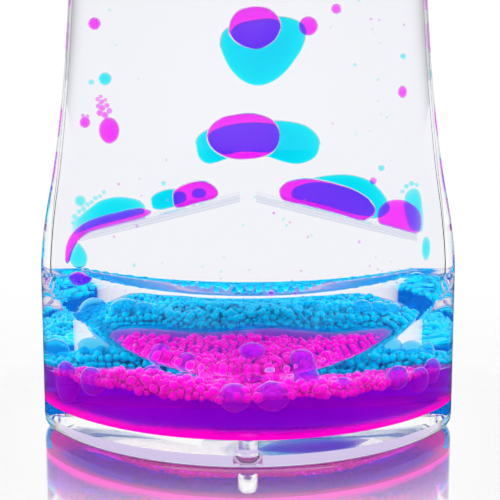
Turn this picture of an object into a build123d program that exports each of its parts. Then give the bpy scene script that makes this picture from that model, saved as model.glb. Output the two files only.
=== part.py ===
from build123d import *
import os
from math import atan2, cos, degrees, hypot, sin, sqrt

# Liquid motion timer: a clear hourglass case in two halves with a flat panel between them.
# Each half is filled with a clear liquid, and drops of a heavier coloured liquid fall through
# it, land on a roof of two ramps and run off into a pool at the bottom.
# Frame: X across the wide face, Y from front to rear, Z up, origin under the middle of the foot.
# The front half holds the magenta liquid, the rear half the cyan one. Lengths in millimetres.

# Case
case_height = 160.0
base_width = 64.0
base_depth = 44.0
base_nose_radius = 12.0
neck_depth = 19.0
neck_nose_radius = 3.84
waist_width = 52.6
flare_width = 64.5
eaves_height = 13.7
shoulder_top = 21.5
block_height = 24.0
wall = 2.2
foot_fillet = 1.2

# Foot: a floor plate set up inside a skirt, with a filling port for each half
floor_thickness = 2.2
recess_depth = 1.8
skirt_wall = 3.0
port_radius = 1.4
port_boss_radius = 2.4
port_boss_lift = 0.9
port_skirt_gap = 0.2
plug_clearance = 0.05
plug_flange_radius = 2.0
plug_flange = 0.5
plug_lead = 0.4

# Divider panel, held by its edge between the two halves
divider_thickness = 1.2
divider_cover = 1.1
divider_edge_gap = 0.1

# Ramps
ramp_thickness = 1.0
ramp_gap = 2.4
ramp_reach = 25.3
ramp_peak = 35.3
ramp_fall = 6.3

# Liquids
film = 0.25
pool_level = 10.0
reservoir_rise = 5.9
lane_half_width = 12.2
ramp_lane_top = 47.0
raft_top = 16.5
side_lane = 22.5
reserve_gap = 3.4
overrun = 5.0
ramp_travel = 1.5

# Half widths of the neck from the waist down, and the last station, hidden in the foot block.
# Each is a share of the way from mid-height to the table, and of the way from waist to flare.
neck_shares = ((0.0, 0.0), (0.175, 0.118), (0.3625, 0.345), (0.5, 0.605), (0.6125, 0.89), (0.6875, 1.0))
neck_root_share = (0.85, 0.79)

# Falling drops: the middle across, as a share of the waist's half width, then the middle's height
# over the ramps' peak, the width and the height, as shares of the largest drop's width.
drop_width = 19.4
falling_shares = {
    "magenta_drop_lower": (-0.023, 0.490, 0.552, 0.361),
    "magenta_drop_upper": (0.040, 1.323, 0.394, 0.326),
    "magenta_drop_top": (0.040, 1.702, 0.350, 0.320),
    "cyan_drop_lower": (0.057, 0.444, 1.0, 0.371),
    "cyan_drop_upper": (0.089, 1.187, 0.680, 0.577),
}

# Drops that lie on the lower ramps: hand (-1 left, 1 right), the middle as a share of the ramp's
# reach, then the length and height as shares of the largest drop's width.
ramp_drop_shares = {
    "magenta_ramp_drop_left": (-1, 0.308, 0.361, 0.185),
    "magenta_ramp_drop_right": (1, 0.474, 0.742, 0.222),
    "magenta_ramp_drop_outer": (1, 0.912, 0.345, 0.190),
    "cyan_ramp_drop_left": (-1, 0.862, 0.500, 0.155),
    "cyan_ramp_drop_inner": (-1, 0.534, 0.180, 0.150),
    "cyan_ramp_drop_right": (1, 0.640, 0.640, 0.275),
    "cyan_ramp_drop_outer": (1, 1.020, 0.170, 0.215),
}

# Drops in the gap between the ramps and the side walls: as the falling drops.
side_drop_shares = {
    "magenta_side_drop_left": (-0.990, -0.681, 0.206, 0.206),
    "cyan_side_drop_left": (-1.027, -0.492, 0.170, 0.216),
    "cyan_side_drop_right": (1.020, -0.698, 0.206, 0.186),
}
side_drop_depth = 2.8
side_drop_set = 2.35

# Strand that runs off the left ramp and down beside the wall.
strand_radius = 0.95
strand_start = 14.6
strand_turn = 26.9
strand_bend = 2.2
strand_hang = 5.3

# Small beads left behind by the drops: as the falling drops.
magenta_bead_shares = (
    (0.336, 1.347, 0.152, 0.152),
    (0.490, 1.479, 0.079, 0.079),
    (-0.850, 1.347, 0.103, 0.103),
    (-0.825, 0.613, 0.173, 0.380),
    (-0.925, 0.597, 0.095, 0.095),
    (0.882, 0.836, 0.079, 0.110),
)
cyan_bead_shares = (
    (-0.840, 0.952, 0.106, 0.106),
    (-0.945, 0.910, 0.052, 0.052),
    (0.920, 1.150, 0.052, 0.052),
    (0.795, 0.341, 0.052, 0.052),
)

# Raft of unmerged drops that float on each pool
raft_pitch = 4.6
raft_radius = 2.1
raft_small_radius = 1.5
raft_edge_gap = 1.0

# Values worked out from the sizes above
mid_height = case_height / 2
base_half_width = base_width / 2
base_half_depth = base_depth / 2
neck_half_depth = neck_depth / 2
waist_half_width = waist_width / 2
flare_half_width = flare_width / 2
shoulder_slope = (shoulder_top - eaves_height) / (base_half_depth - neck_half_depth)
floor_level = recess_depth + floor_thickness
divider_face = divider_thickness / 2
ramp_start = ramp_gap / 2
ramp_slope = ramp_fall / (ramp_reach - ramp_start)
ramp_tilt = degrees(atan2(ramp_fall, ramp_reach - ramp_start))
port_offset = base_half_depth - skirt_wall - plug_flange_radius - port_skirt_gap
reservoir_level = case_height - ramp_peak + reservoir_rise
reserve_top = reservoir_level + reserve_gap
mid_plane = Plane.XY.offset(mid_height)


def face_radius(half_width, half_depth, nose):
    """Radius of the broad faces of an oval plan with these noses."""
    return (half_depth**2 + (half_width - nose) ** 2 - nose**2) / (2 * (half_depth - nose))


base_face_radius = face_radius(base_half_width, base_half_depth, base_nose_radius)
neck_face_radius = face_radius(flare_half_width, neck_half_depth, neck_nose_radius)
space_half_depth = neck_half_depth - wall
space_face_radius = neck_face_radius - wall


def neck_stations():
    """Heights and half widths of the neck's sections, from the lower foot block to the upper."""
    lower = []
    for height_share, width_share in (*neck_shares, neck_root_share):
        half_width = waist_half_width + width_share * (flare_half_width - waist_half_width)
        lower.append((mid_height - height_share * mid_height, half_width))
    upper = [(case_height - level, half_width) for level, half_width in lower[1:]]
    return lower[::-1] + upper


def oval(half_width, half_depth, face_radius):
    """Plan of four tangent arcs: two broad faces and two noses."""
    reach = face_radius - half_depth
    nose = (face_radius**2 - half_width**2 - reach**2) / (2 * (face_radius - half_width))
    meet_x = face_radius * (half_width - nose) / (face_radius - nose)
    meet_y = face_radius * reach / (face_radius - nose) - reach
    with BuildSketch() as plan:
        with BuildLine():
            ThreePointArc((-meet_x, -meet_y), (0, -half_depth), (meet_x, -meet_y))
            ThreePointArc((meet_x, -meet_y), (half_width, 0), (meet_x, meet_y))
            ThreePointArc((meet_x, meet_y), (0, half_depth), (-meet_x, meet_y))
            ThreePointArc((-meet_x, meet_y), (-half_width, 0), (-meet_x, -meet_y))
        make_face()
    return plan.sketch


def end_block(inset, end_level, rounded=False):
    """Wide foot: an oval wall under a roof that slopes up to the neck from front and rear."""
    eaves = eaves_height - inset * hypot(1, shoulder_slope)
    top = block_height - inset
    ridge = base_half_depth - (top - eaves) / shoulder_slope
    with BuildPart() as block:
        with BuildSketch(Plane.XY.offset(end_level)):
            add(oval(base_half_width - inset, base_half_depth - inset, base_face_radius - inset))
        extrude(amount=top - end_level)
        with BuildSketch(Plane.YZ):
            with BuildLine():
                Polyline(
                    (-base_half_depth, end_level),
                    (-base_half_depth, eaves),
                    (-ridge, top),
                    (ridge, top),
                    (base_half_depth, eaves),
                    (base_half_depth, end_level),
                    close=True,
                )
            make_face()
        extrude(amount=base_half_width, both=True, mode=Mode.INTERSECT)
        if rounded:
            foot_edges = block.faces().sort_by(Axis.Z)[0].edges()
            fillet(foot_edges, radius=foot_fillet)
    return block.part


def case_form(inset, end_level, rounded=False):
    """Hourglass of the case, drawn in by inset all over, with its ends cut at end_level."""
    block = end_block(inset, end_level, rounded)
    with BuildPart() as form:
        for level, half_width in neck_stations():
            with BuildSketch(Plane.XY.offset(level)):
                add(oval(half_width - inset, neck_half_depth - inset, neck_face_radius - inset))
        loft()
        add(block)
        mirror(block, about=mid_plane)
    return form.part


def slab(form, low, high):
    """Keep the part of a form between two depths."""
    with BuildPart() as kept:
        add(form)
        split(bisect_by=Plane.XZ.offset(-low), keep=Keep.BOTTOM)
        split(bisect_by=Plane.XZ.offset(-high), keep=Keep.TOP)
    return kept.part


outer_form = case_form(0, 0, rounded=True)
cavity = case_form(wall, floor_level)
liquid_space = case_form(wall + film, floor_level + film)
divider_form = case_form(divider_cover, floor_level - divider_cover)
rebate_cover = divider_cover - divider_edge_gap
rebate_form = case_form(rebate_cover, floor_level - divider_cover - divider_edge_gap)
rebate = slab(rebate_form, -divider_face, divider_face)


def half_shell(side, keep):
    """One moulded half of the case, with its skirted foot and filling port."""
    recess_plan = oval(
        base_half_width - skirt_wall,
        base_half_depth - skirt_wall,
        base_face_radius - skirt_wall,
    )
    with BuildPart() as shell:
        add(outer_form)
        add(cavity, mode=Mode.SUBTRACT)
        add(rebate, mode=Mode.SUBTRACT)
        for level in (0, case_height - recess_depth):
            with BuildSketch(Plane.XY.offset(level)):
                add(recess_plan)
            extrude(amount=recess_depth, mode=Mode.SUBTRACT)
        with BuildSketch(Plane.XY.offset(port_boss_lift)):
            with Locations((0, side * port_offset)):
                Circle(port_boss_radius)
        extrude(amount=recess_depth - port_boss_lift)
        with BuildSketch(Plane.XY.offset(port_boss_lift)):
            with Locations((0, side * port_offset)):
                Circle(port_radius)
        extrude(amount=floor_level - port_boss_lift, mode=Mode.SUBTRACT)
        split(bisect_by=Plane.XZ, keep=keep)
    return shell


def fill_plug(side):
    """Stepped plug, pushed up into a filling port until its flange meets the boss."""
    with BuildPart() as plug:
        with BuildSketch(Plane.XY.offset(port_boss_lift)):
            with Locations((0, side * port_offset)):
                Circle(plug_flange_radius)
        extrude(amount=-plug_flange)
        with BuildSketch(Plane.XY.offset(port_boss_lift)):
            with Locations((0, side * port_offset)):
                Circle(port_radius - plug_clearance)
        extrude(amount=floor_level - port_boss_lift)
        tip = plug.faces().sort_by(Axis.Z)[-1].edges()
        chamfer(tip, length=plug_lead)
    return plug


def compartment(side):
    """Space for liquid on one side of the divider, a film clear of every wall."""
    near = side * (divider_face + film)
    far = side * base_half_depth
    return slab(liquid_space, min(near, far), max(near, far))


front_space = compartment(-1)
rear_space = compartment(1)
sides = {-1: front_space, 1: rear_space}
seat_spaces = {
    -1: slab(liquid_space, -base_half_depth, -divider_face),
    1: slab(liquid_space, divider_face, base_half_depth),
}


def ramp_outline(hand, grow):
    """Corners of a lower ramp's section, thickened all round by grow."""
    rise = (ramp_thickness + grow) * hypot(1, ramp_slope)
    sink = grow * hypot(1, ramp_slope)
    start = ramp_start - grow
    end = ramp_reach + grow
    low_start = ramp_peak + grow * ramp_slope
    low_end = ramp_peak - (end - ramp_start) * ramp_slope
    return (
        (hand * start, low_start - sink),
        (hand * end, low_end - sink),
        (hand * end, low_end + rise),
        (hand * start, low_start + rise),
    )


def ramp(side, hand, upper):
    """Flat strip from the divider to the wall, sloping down towards the side of the case."""
    with BuildPart() as strip:
        with BuildSketch(Plane.XZ):
            with BuildLine():
                Polyline(*ramp_outline(hand, 0), close=True)
            make_face()
        extrude(amount=base_half_depth, both=True)
        if upper:
            mirror(about=mid_plane, mode=Mode.REPLACE)
        add(seat_spaces[side], mode=Mode.INTERSECT)
    return strip


def ellipsoid(centre, radii):
    """Drop with three radii, drawn out from a ball unless it is one."""
    width, depth, height = radii
    with BuildPart() as ball:
        Sphere(width)
        if len(set(radii)) > 1:
            scale(by=(1, depth / width, height / width))
    return ball.part.moved(Location(centre))


def space_depth(x):
    """Distance from the mid-plane to the inside of the neck's broad face."""
    return space_half_depth - space_face_radius + sqrt(space_face_radius**2 - x**2)


def neck_drop(side, shares, grow):
    """Centre and radii of a drop in the neck, kept inside the space between panel and wall."""
    x_share, z_share, width_share, height_share = shares
    x = x_share * waist_half_width
    clear_depth = space_depth(x) - divider_face
    half_width = width_share * drop_width / 2
    half_height = height_share * drop_width / 2
    half_depth = min(clear_depth / 2 - 2 * film, (half_width + half_height) / 2)
    middle = divider_face + 2 * film + half_depth
    centre = (x, side * middle, ramp_peak + z_share * drop_width)
    return centre, (half_width + grow, half_depth + grow, half_height + grow)


def falling_drop(side, shares):
    """Drop in free fall in the neck."""
    centre, radii = neck_drop(side, shares, 0)
    with BuildPart() as drop:
        add(ellipsoid(centre, radii))
    return drop


def side_drop(side, shares):
    """Drop that sinks through the gap beside a ramp."""
    x_share, z_share, width_share, height_share = shares
    z = ramp_peak + z_share * drop_width
    centre = (x_share * waist_half_width, side * side_drop_set, z)
    radii = (width_share * drop_width / 2, side_drop_depth / 2, height_share * drop_width / 2)
    with BuildPart() as drop:
        add(ellipsoid(centre, radii))
        add(sides[side], mode=Mode.INTERSECT)
    return drop


def ramp_drop(side, shares):
    """Dome of liquid that lies on a lower ramp, clear of the wall all along its way down."""
    hand, reach_share, length_share, height_share = shares
    x = hand * reach_share * ramp_reach
    z = ramp_peak - (abs(x) - ramp_start) * ramp_slope
    z += (ramp_thickness + film) * hypot(1, ramp_slope)
    clear_depth = space_depth(x) - divider_face
    middle = side * (divider_face + clear_depth / 2)
    half_length = length_share * drop_width / 2
    height = height_share * drop_width
    half_depth = clear_depth / 2 - film
    with BuildPart() as dome:
        Sphere(1)
        split(bisect_by=Plane.XY, keep=Keep.TOP)
        scale(by=(half_length, half_depth, height))
    seat = Location((x, middle, z), (0, hand * ramp_tilt, 0))
    way_back = Location((-hand * ramp_travel, 0, ramp_travel * ramp_slope))
    with BuildPart() as drop:
        add(dome.part.moved(seat))
        add(sides[side], mode=Mode.INTERSECT)
        add(sides[side].moved(way_back), mode=Mode.INTERSECT)
    return drop


def ramp_strand(side):
    """Strand that lies along the left ramp, turns over its end and hangs beside the wall."""
    lift = (ramp_thickness + film) * hypot(1, ramp_slope) + strand_radius * hypot(1, ramp_slope)
    start = (-strand_start, ramp_peak - (strand_start - ramp_start) * ramp_slope + lift)
    turn = (-strand_turn, ramp_peak - (strand_turn - ramp_start) * ramp_slope + lift)
    end = (-strand_turn, turn[1] - strand_hang)
    middle = side * (divider_face + film + strand_radius)
    with BuildPart() as strand:
        with BuildLine(Plane.XZ.offset(-middle)):
            path = FilletPolyline(start, turn, end, radius=strand_bend)
        with BuildSketch(Plane(origin=path @ 0, z_dir=path % 0)):
            Circle(strand_radius)
        sweep(path=path)
        with Locations(path @ 0, path @ 1):
            Sphere(strand_radius)
        add(sides[side], mode=Mode.INTERSECT)
    return strand


def bead_group(side, table, grow=0):
    """Small beads in the neck, as separate solids."""
    return [ellipsoid(*neck_drop(side, shares, grow)) for shares in table]


def pool(side):
    """Merged liquid that lies on the floor of one half."""
    with BuildPart() as fill:
        add(sides[side])
        split(bisect_by=Plane.XY.offset(pool_level), keep=Keep.BOTTOM)
    return fill


def raft(side):
    """Domes of unmerged drops, in rows over the pool."""
    rows = int((base_half_depth - wall - raft_edge_gap) / raft_pitch)
    domes = []
    for row in range(rows):
        depth = divider_face + raft_edge_gap + raft_radius + row * raft_pitch
        inner_radius = base_face_radius - wall
        half_chord = sqrt(inner_radius**2 - (depth + base_face_radius - base_half_depth) ** 2)
        half_chord = min(half_chord, base_half_width - wall) - raft_edge_gap - raft_radius
        count = int(2 * half_chord / raft_pitch)
        for place in range(count + 1):
            x = (place - count / 2) * raft_pitch
            radius = raft_radius if (place + row) % 2 else raft_small_radius
            domes.append(((x, side * depth, pool_level), radius))
    with BuildPart() as cover:
        for centre, radius in domes:
            with Locations(centre):
                Sphere(radius)
        split(bisect_by=Plane.XY.offset(pool_level), keep=Keep.TOP)
        add(sides[side], mode=Mode.INTERSECT)
    return cover


def reservoir(side):
    """Liquid that still waits in the funnel of the upper ramps."""
    funnel_low = case_height - ramp_peak + film * hypot(1, ramp_slope)
    half_top = ramp_start + (reservoir_level - funnel_low) / ramp_slope
    with BuildPart() as wedge:
        with BuildSketch(Plane.XZ):
            with BuildLine():
                Polyline(
                    (-half_top, reservoir_level),
                    (-ramp_start, funnel_low),
                    (ramp_start, funnel_low),
                    (half_top, reservoir_level),
                    close=True,
                )
            make_face()
        extrude(amount=base_half_depth, both=True)
        add(sides[side], mode=Mode.INTERSECT)
    return wedge


def carrier(side, beads):
    """Clear liquid that fills one half, left out where the drops travel."""
    ramp_low = ramp_peak - (side_lane - ramp_start) * ramp_slope
    roof_clear = film * hypot(1, ramp_slope)
    upper_ramp_low = case_height - ramp_peak - (ramp_thickness + film) * hypot(1, ramp_slope)
    outside = base_half_width + overrun
    with BuildPart() as liquid:
        with BuildSketch(Plane.XZ):
            with BuildLine():
                Polyline(
                    (-side_lane, raft_top),
                    (side_lane, raft_top),
                    (side_lane, ramp_low - roof_clear),
                    (ramp_start, ramp_peak - roof_clear),
                    (-ramp_start, ramp_peak - roof_clear),
                    (-side_lane, ramp_low - roof_clear),
                    close=True,
                )
            make_face()
            with BuildLine():
                Polyline(
                    (lane_half_width, ramp_lane_top),
                    (outside, ramp_lane_top),
                    (outside, upper_ramp_low + (outside - ramp_start) * ramp_slope),
                    (lane_half_width, upper_ramp_low + (lane_half_width - ramp_start) * ramp_slope),
                    close=True,
                )
            make_face()
            mirror(about=Plane.YZ)
            with Locations((0, (reserve_top + case_height) / 2)):
                Rectangle(2 * outside, case_height - reserve_top)
        extrude(amount=base_half_depth, both=True)
        add(sides[side], mode=Mode.INTERSECT)
        for bead in beads:
            add(bead, mode=Mode.SUBTRACT)
    return liquid


pieces = {
    "front_shell": half_shell(-1, Keep.TOP),
    "rear_shell": half_shell(1, Keep.BOTTOM),
    "front_fill_plug": fill_plug(-1),
    "rear_fill_plug": fill_plug(1),
    "front_pool": pool(-1),
    "rear_pool": pool(1),
    "front_raft": raft(-1),
    "rear_raft": raft(1),
    "front_reservoir": reservoir(-1),
    "rear_reservoir": reservoir(1),
    "magenta_ramp_strand": ramp_strand(-1),
    "front_carrier_liquid": carrier(-1, bead_group(-1, magenta_bead_shares, film)),
    "rear_carrier_liquid": carrier(1, bead_group(1, cyan_bead_shares, film)),
}

with BuildPart() as divider_panel:
    add(slab(divider_form, -divider_face, divider_face))
pieces["divider_panel"] = divider_panel

for side_name, side in (("front", -1), ("rear", 1)):
    for hand_name, hand in (("left", -1), ("right", 1)):
        for level_name, upper in (("lower", False), ("upper", True)):
            pieces[f"{side_name}_{level_name}_{hand_name}_ramp"] = ramp(side, hand, upper)

tables = ((falling_shares, falling_drop), (ramp_drop_shares, ramp_drop), (side_drop_shares, side_drop))
for table, maker in tables:
    for name, shares in table.items():
        side = -1 if name.startswith("magenta") else 1
        pieces[name] = maker(side, shares)

with BuildPart() as magenta_beads:
    for bead in bead_group(-1, magenta_bead_shares):
        add(bead)
    add(front_space, mode=Mode.INTERSECT)
pieces["magenta_beads"] = magenta_beads

with BuildPart() as cyan_beads:
    for bead in bead_group(1, cyan_bead_shares):
        add(bead)
    add(rear_space, mode=Mode.INTERSECT)
pieces["cyan_beads"] = cyan_beads

os.makedirs("parts", exist_ok=True)
for name, piece in pieces.items():
    piece.part.label = name
    export_step(piece.part, f"parts/{name}.step")
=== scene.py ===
"""Looks of the liquid motion timer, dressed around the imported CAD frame.

The case is one moulded acrylic hourglass. Each half is full of clear oil, in which drops of dyed
water sink, roll off a roof of ramps and gather in a foaming pool. All sizes in this file are in
millimetres until mesh_object() turns them to metres.
"""
import logging
import math
from dataclasses import dataclass, field
from enum import Enum

import bmesh
import bpy
import numpy as np
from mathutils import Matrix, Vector
from mathutils.geometry import delaunay_2d_cdt


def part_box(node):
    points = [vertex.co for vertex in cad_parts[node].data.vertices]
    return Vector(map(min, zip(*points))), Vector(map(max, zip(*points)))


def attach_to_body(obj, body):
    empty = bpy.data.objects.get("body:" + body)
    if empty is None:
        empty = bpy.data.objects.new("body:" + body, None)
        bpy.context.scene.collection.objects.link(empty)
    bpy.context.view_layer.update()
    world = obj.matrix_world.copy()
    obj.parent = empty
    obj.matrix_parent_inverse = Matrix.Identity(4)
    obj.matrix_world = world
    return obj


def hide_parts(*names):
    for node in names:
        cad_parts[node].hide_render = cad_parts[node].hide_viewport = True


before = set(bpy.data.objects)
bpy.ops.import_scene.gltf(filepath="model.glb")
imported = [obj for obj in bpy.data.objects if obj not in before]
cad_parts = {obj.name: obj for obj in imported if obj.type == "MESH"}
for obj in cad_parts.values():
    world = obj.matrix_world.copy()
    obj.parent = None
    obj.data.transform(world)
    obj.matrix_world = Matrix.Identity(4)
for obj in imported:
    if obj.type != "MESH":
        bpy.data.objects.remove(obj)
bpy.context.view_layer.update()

MM = 0.001
TINY = 1e-4
CLOSE = 1e-6
LOG = logging.getLogger("timer")


class Side(Enum):
    """The two halves of the case. The value is the sign of Y there."""

    FRONT = -1
    REAR = 1


class Dye(Enum):
    """The two dyed liquids."""

    MAGENTA = "magenta"
    CYAN = "cyan"


class State(Enum):
    """How far a dyed liquid has come on its way down."""

    HANGING = "hanging"
    UNMERGED = "unmerged"
    FOAMED = "foamed"
    SETTLED = "settled"


class CaseFace(Enum):
    """Material slots of the case's mesh."""

    OUTER = 0
    WETTED = 1


def linear(hex_colour: str) -> tuple[float, float, float, float]:
    """Turns an sRGB hex colour to linear RGBA.

    Args:
        hex_colour: Six hex digits after a hash.

    Returns:
        Red, green, blue and alpha, linear.
    """
    parts = [int(hex_colour[k : k + 2], 16) / 255 for k in (1, 3, 5)]
    low, slope, gamma, offset = 0.04045, 12.92, 2.4, 0.055
    curve = [c / slope if c <= low else ((c + offset) / (1 + offset)) ** gamma for c in parts]
    return (*curve, 1.0)


def add_node(tree: bpy.types.NodeTree, kind: str, settings: dict | None = None,
             values: dict | None = None, links: dict | None = None) -> bpy.types.Node:
    """Adds a node to a tree, with its settings, socket values and incoming links.

    Args:
        tree: The node tree.
        kind: Blender's identifier of the node type.
        settings: Attributes of the node.
        values: Default values by socket name or index.
        links: Output sockets by the name or index of the input that they feed.

    Returns:
        The new node.
    """
    node = tree.nodes.new(kind)
    for name, value in (settings or {}).items():
        setattr(node, name, value)
    for name, value in (values or {}).items():
        node.inputs[name].default_value = value
    for name, socket in (links or {}).items():
        tree.links.new(socket, node.inputs[name])
    return node


def new_material(name: str) -> tuple[bpy.types.Material, bpy.types.NodeTree, bpy.types.Node]:
    """Makes an empty node material.

    Args:
        name: Its name.

    Returns:
        The material, its tree and its output node.
    """
    material = bpy.data.materials.new(name)
    material.use_nodes = True
    tree = material.node_tree
    tree.nodes.clear()
    return material, tree, add_node(tree, "ShaderNodeOutputMaterial")


def mesh_object(name: str, points: np.ndarray, faces: list[tuple[int, ...]],
                materials: list[bpy.types.Material], slots: list[int] | None = None,
                smooth: bool = True) -> bpy.types.Object:
    """Makes a closed mesh piece from points in millimetres, merging points that coincide.

    Edges of over 35 degrees are shaded sharp, so that flat faces stay flat.

    Args:
        name: The piece's name.
        points: Points in millimetres, one row each.
        faces: Faces as tuples of point numbers, wound outwards.
        materials: Its materials.
        slots: Material slot of each face, or none where all take the first.
        smooth: Whether its faces are shaded smooth.

    Returns:
        The new object, linked to the scene.
    """
    mesh = bpy.data.meshes.new(name)
    mesh.from_pydata((np.asarray(points) * MM).tolist(), [], faces)
    for material in materials:
        mesh.materials.append(material)
    if slots is not None:
        mesh.polygons.foreach_set("material_index", slots)
    work = bmesh.new()
    work.from_mesh(mesh)
    weld, crease = 0.002 * MM, math.radians(35)
    bmesh.ops.remove_doubles(work, verts=work.verts, dist=weld)
    bmesh.ops.dissolve_degenerate(work, edges=work.edges, dist=weld)
    for edge in work.edges:
        edge.smooth = len(edge.link_faces) == 2 and edge.calc_face_angle(0.0) < crease
    work.to_mesh(mesh)
    work.free()
    mesh.polygons.foreach_set("use_smooth", [smooth] * len(mesh.polygons))
    piece = bpy.data.objects.new(name, mesh)
    bpy.context.scene.collection.objects.link(piece)
    return piece


def attach(piece: bpy.types.Object, body: str, slot: str, *nodes: str) -> bpy.types.Object:
    """Ties a finished piece to the frame and reports it.

    Args:
        piece: The piece.
        body: The body that it rides on.
        slot: The material slot that its finish comes from. Not used.
        nodes: The CAD nodes that it stands for.

    Returns:
        The piece.
    """
    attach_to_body(piece, body)
    if nodes:
        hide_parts(*nodes)
    LOG.info("%s: %d faces, rides on %s", piece.name, len(piece.data.polygons), body)
    return piece


@dataclass(frozen=True)
class MouldedAcrylic:
    """Injection-moulded clear acrylic, polished: hard clean edges and a faint flow in the wall."""

    colour: str = "#FFFFFF"
    gloss: str = "#A0A0A8"
    ior: float = 1.49
    flow_length: float = 14.0
    flow_depth: float = 0.012

    def build(self) -> bpy.types.Material:
        """Makes the outer skin of the case.

        Returns:
            The material.
        """
        material, tree, output = new_material("acrylic_moulded_clear")
        place = add_node(tree, "ShaderNodeTexCoord")
        flow = add_node(tree, "ShaderNodeTexNoise",
                        values={"Scale": 1 / (self.flow_length * MM), "Detail": 1.0},
                        links={"Vector": place.outputs["Object"]})
        bump = add_node(tree, "ShaderNodeBump",
                        values={"Strength": 1.0, "Distance": self.flow_depth * MM},
                        links={"Height": flow.outputs["Fac"]})
        skin = add_node(tree, "ShaderNodeBsdfPrincipled",
                        values={"Base Color": linear(self.colour), "Roughness": 0.0,
                                "IOR": self.ior, "Transmission Weight": 1.0,
                                "Specular Tint": linear(self.gloss)},
                        links={"Normal": bump.outputs["Normal"]})
        tree.links.new(skin.outputs[0], output.inputs["Surface"])
        return material


@dataclass(frozen=True)
class WettedAcrylic:
    """Clear acrylic or oil against each other: indices of 1.49 and 1.46 make a face all but vanish.

    A sheet or a plug gets a higher index than that, so that its edges show as they do in oil.
    """

    name: str = "acrylic_wetted_by_oil"
    colour: str = "#FFFFFF"
    ior: float = 1.02

    def build(self) -> bpy.types.Material:
        """Makes the clear face.

        Returns:
            The material.
        """
        material, tree, output = new_material(self.name)
        face = add_node(tree, "ShaderNodeBsdfPrincipled",
                        values={"Base Color": linear(self.colour), "Roughness": 0.0,
                                "IOR": self.ior, "Transmission Weight": 1.0})
        tree.links.new(face.outputs[0], output.inputs["Surface"])
        return material


@dataclass(frozen=True)
class DyedWater:
    """Water and glycol with a strong dye, in oil: its index is lower than the oil's.

    The dye stops one colour within a few millimetres and lets the others pass, so a drop looks
    flat. Absorption is per millimetre of depth, for red, green and blue.
    A little of the light is turned back at the skin, which is why magenta over cyan is violet.
    """

    name: str
    glow: str
    absorption: tuple[float, float, float]
    glow_share: float
    ior: float = 0.955

    def skin(self, tree: bpy.types.NodeTree, output: bpy.types.Node) -> bpy.types.Node:
        """Adds the skin and the dye.

        Args:
            tree: The material's tree.
            output: Its output node.

        Returns:
            The node that mixes the clear skin with its milk.
        """
        clear = add_node(tree, "ShaderNodeBsdfGlass",
                         values={"Color": linear("#FFFFFF"), "Roughness": 0.0, "IOR": self.ior})
        milk = add_node(tree, "ShaderNodeBsdfDiffuse", values={"Color": linear(self.glow)})
        mixed = add_node(tree, "ShaderNodeMixShader", values={0: self.glow_share},
                         links={1: clear.outputs[0], 2: milk.outputs[0]})
        density = max(self.absorption)
        kept = tuple(1 - share / density for share in self.absorption)
        dye = add_node(tree, "ShaderNodeVolumeAbsorption",
                       values={"Color": (*kept, 1.0), "Density": density / MM})
        tree.links.new(mixed.outputs[0], output.inputs["Surface"])
        tree.links.new(dye.outputs[0], output.inputs["Volume"])
        return mixed

    def build(self) -> bpy.types.Material:
        """Makes the dyed water.

        Returns:
            The material.
        """
        material, tree, output = new_material(self.name)
        self.skin(tree, output)
        return material


@dataclass(frozen=True)
class UnmergedWater(DyedWater):
    """A dyed drop against its neighbours, with a painted highlight: a pale outline where its skin
    turns away from the view.
    """

    # rim is the colour of the painted highlight along the outline; the fields below set how narrow
    # and strong it is.
    rim: str = "#FFE0FC"
    highlight_power: float = 4.0
    highlight_share: float = 0.8
    highlight_blend: float = 0.4

    def build(self) -> bpy.types.Material:
        """Makes the unmerged water.

        Returns:
            The material.
        """
        material, tree, output = new_material(self.name)
        mixed = self.skin(tree, output)
        milk = mixed.inputs[2].links[0].from_node
        # Painted highlight: the milk turns pale and stronger where the skin turns away from the
        # view.
        turned = add_node(tree, "ShaderNodeLayerWeight", values={"Blend": self.highlight_blend})
        edge = add_node(tree, "ShaderNodeMath", {"operation": "POWER"}, {1: self.highlight_power},
                        {0: turned.outputs["Facing"]})
        tint = add_node(tree, "ShaderNodeMix", {"data_type": "RGBA"},
                        {6: linear(self.glow), 7: linear(self.rim)}, {0: edge.outputs[0]})
        share = add_node(tree, "ShaderNodeMath", {"operation": "MULTIPLY_ADD"},
                         {1: self.highlight_share - self.glow_share, 2: self.glow_share},
                         {0: edge.outputs[0]})
        tree.links.new(tint.outputs[2], milk.inputs["Color"])
        tree.links.new(share.outputs[0], mixed.inputs[0])
        return material


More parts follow.
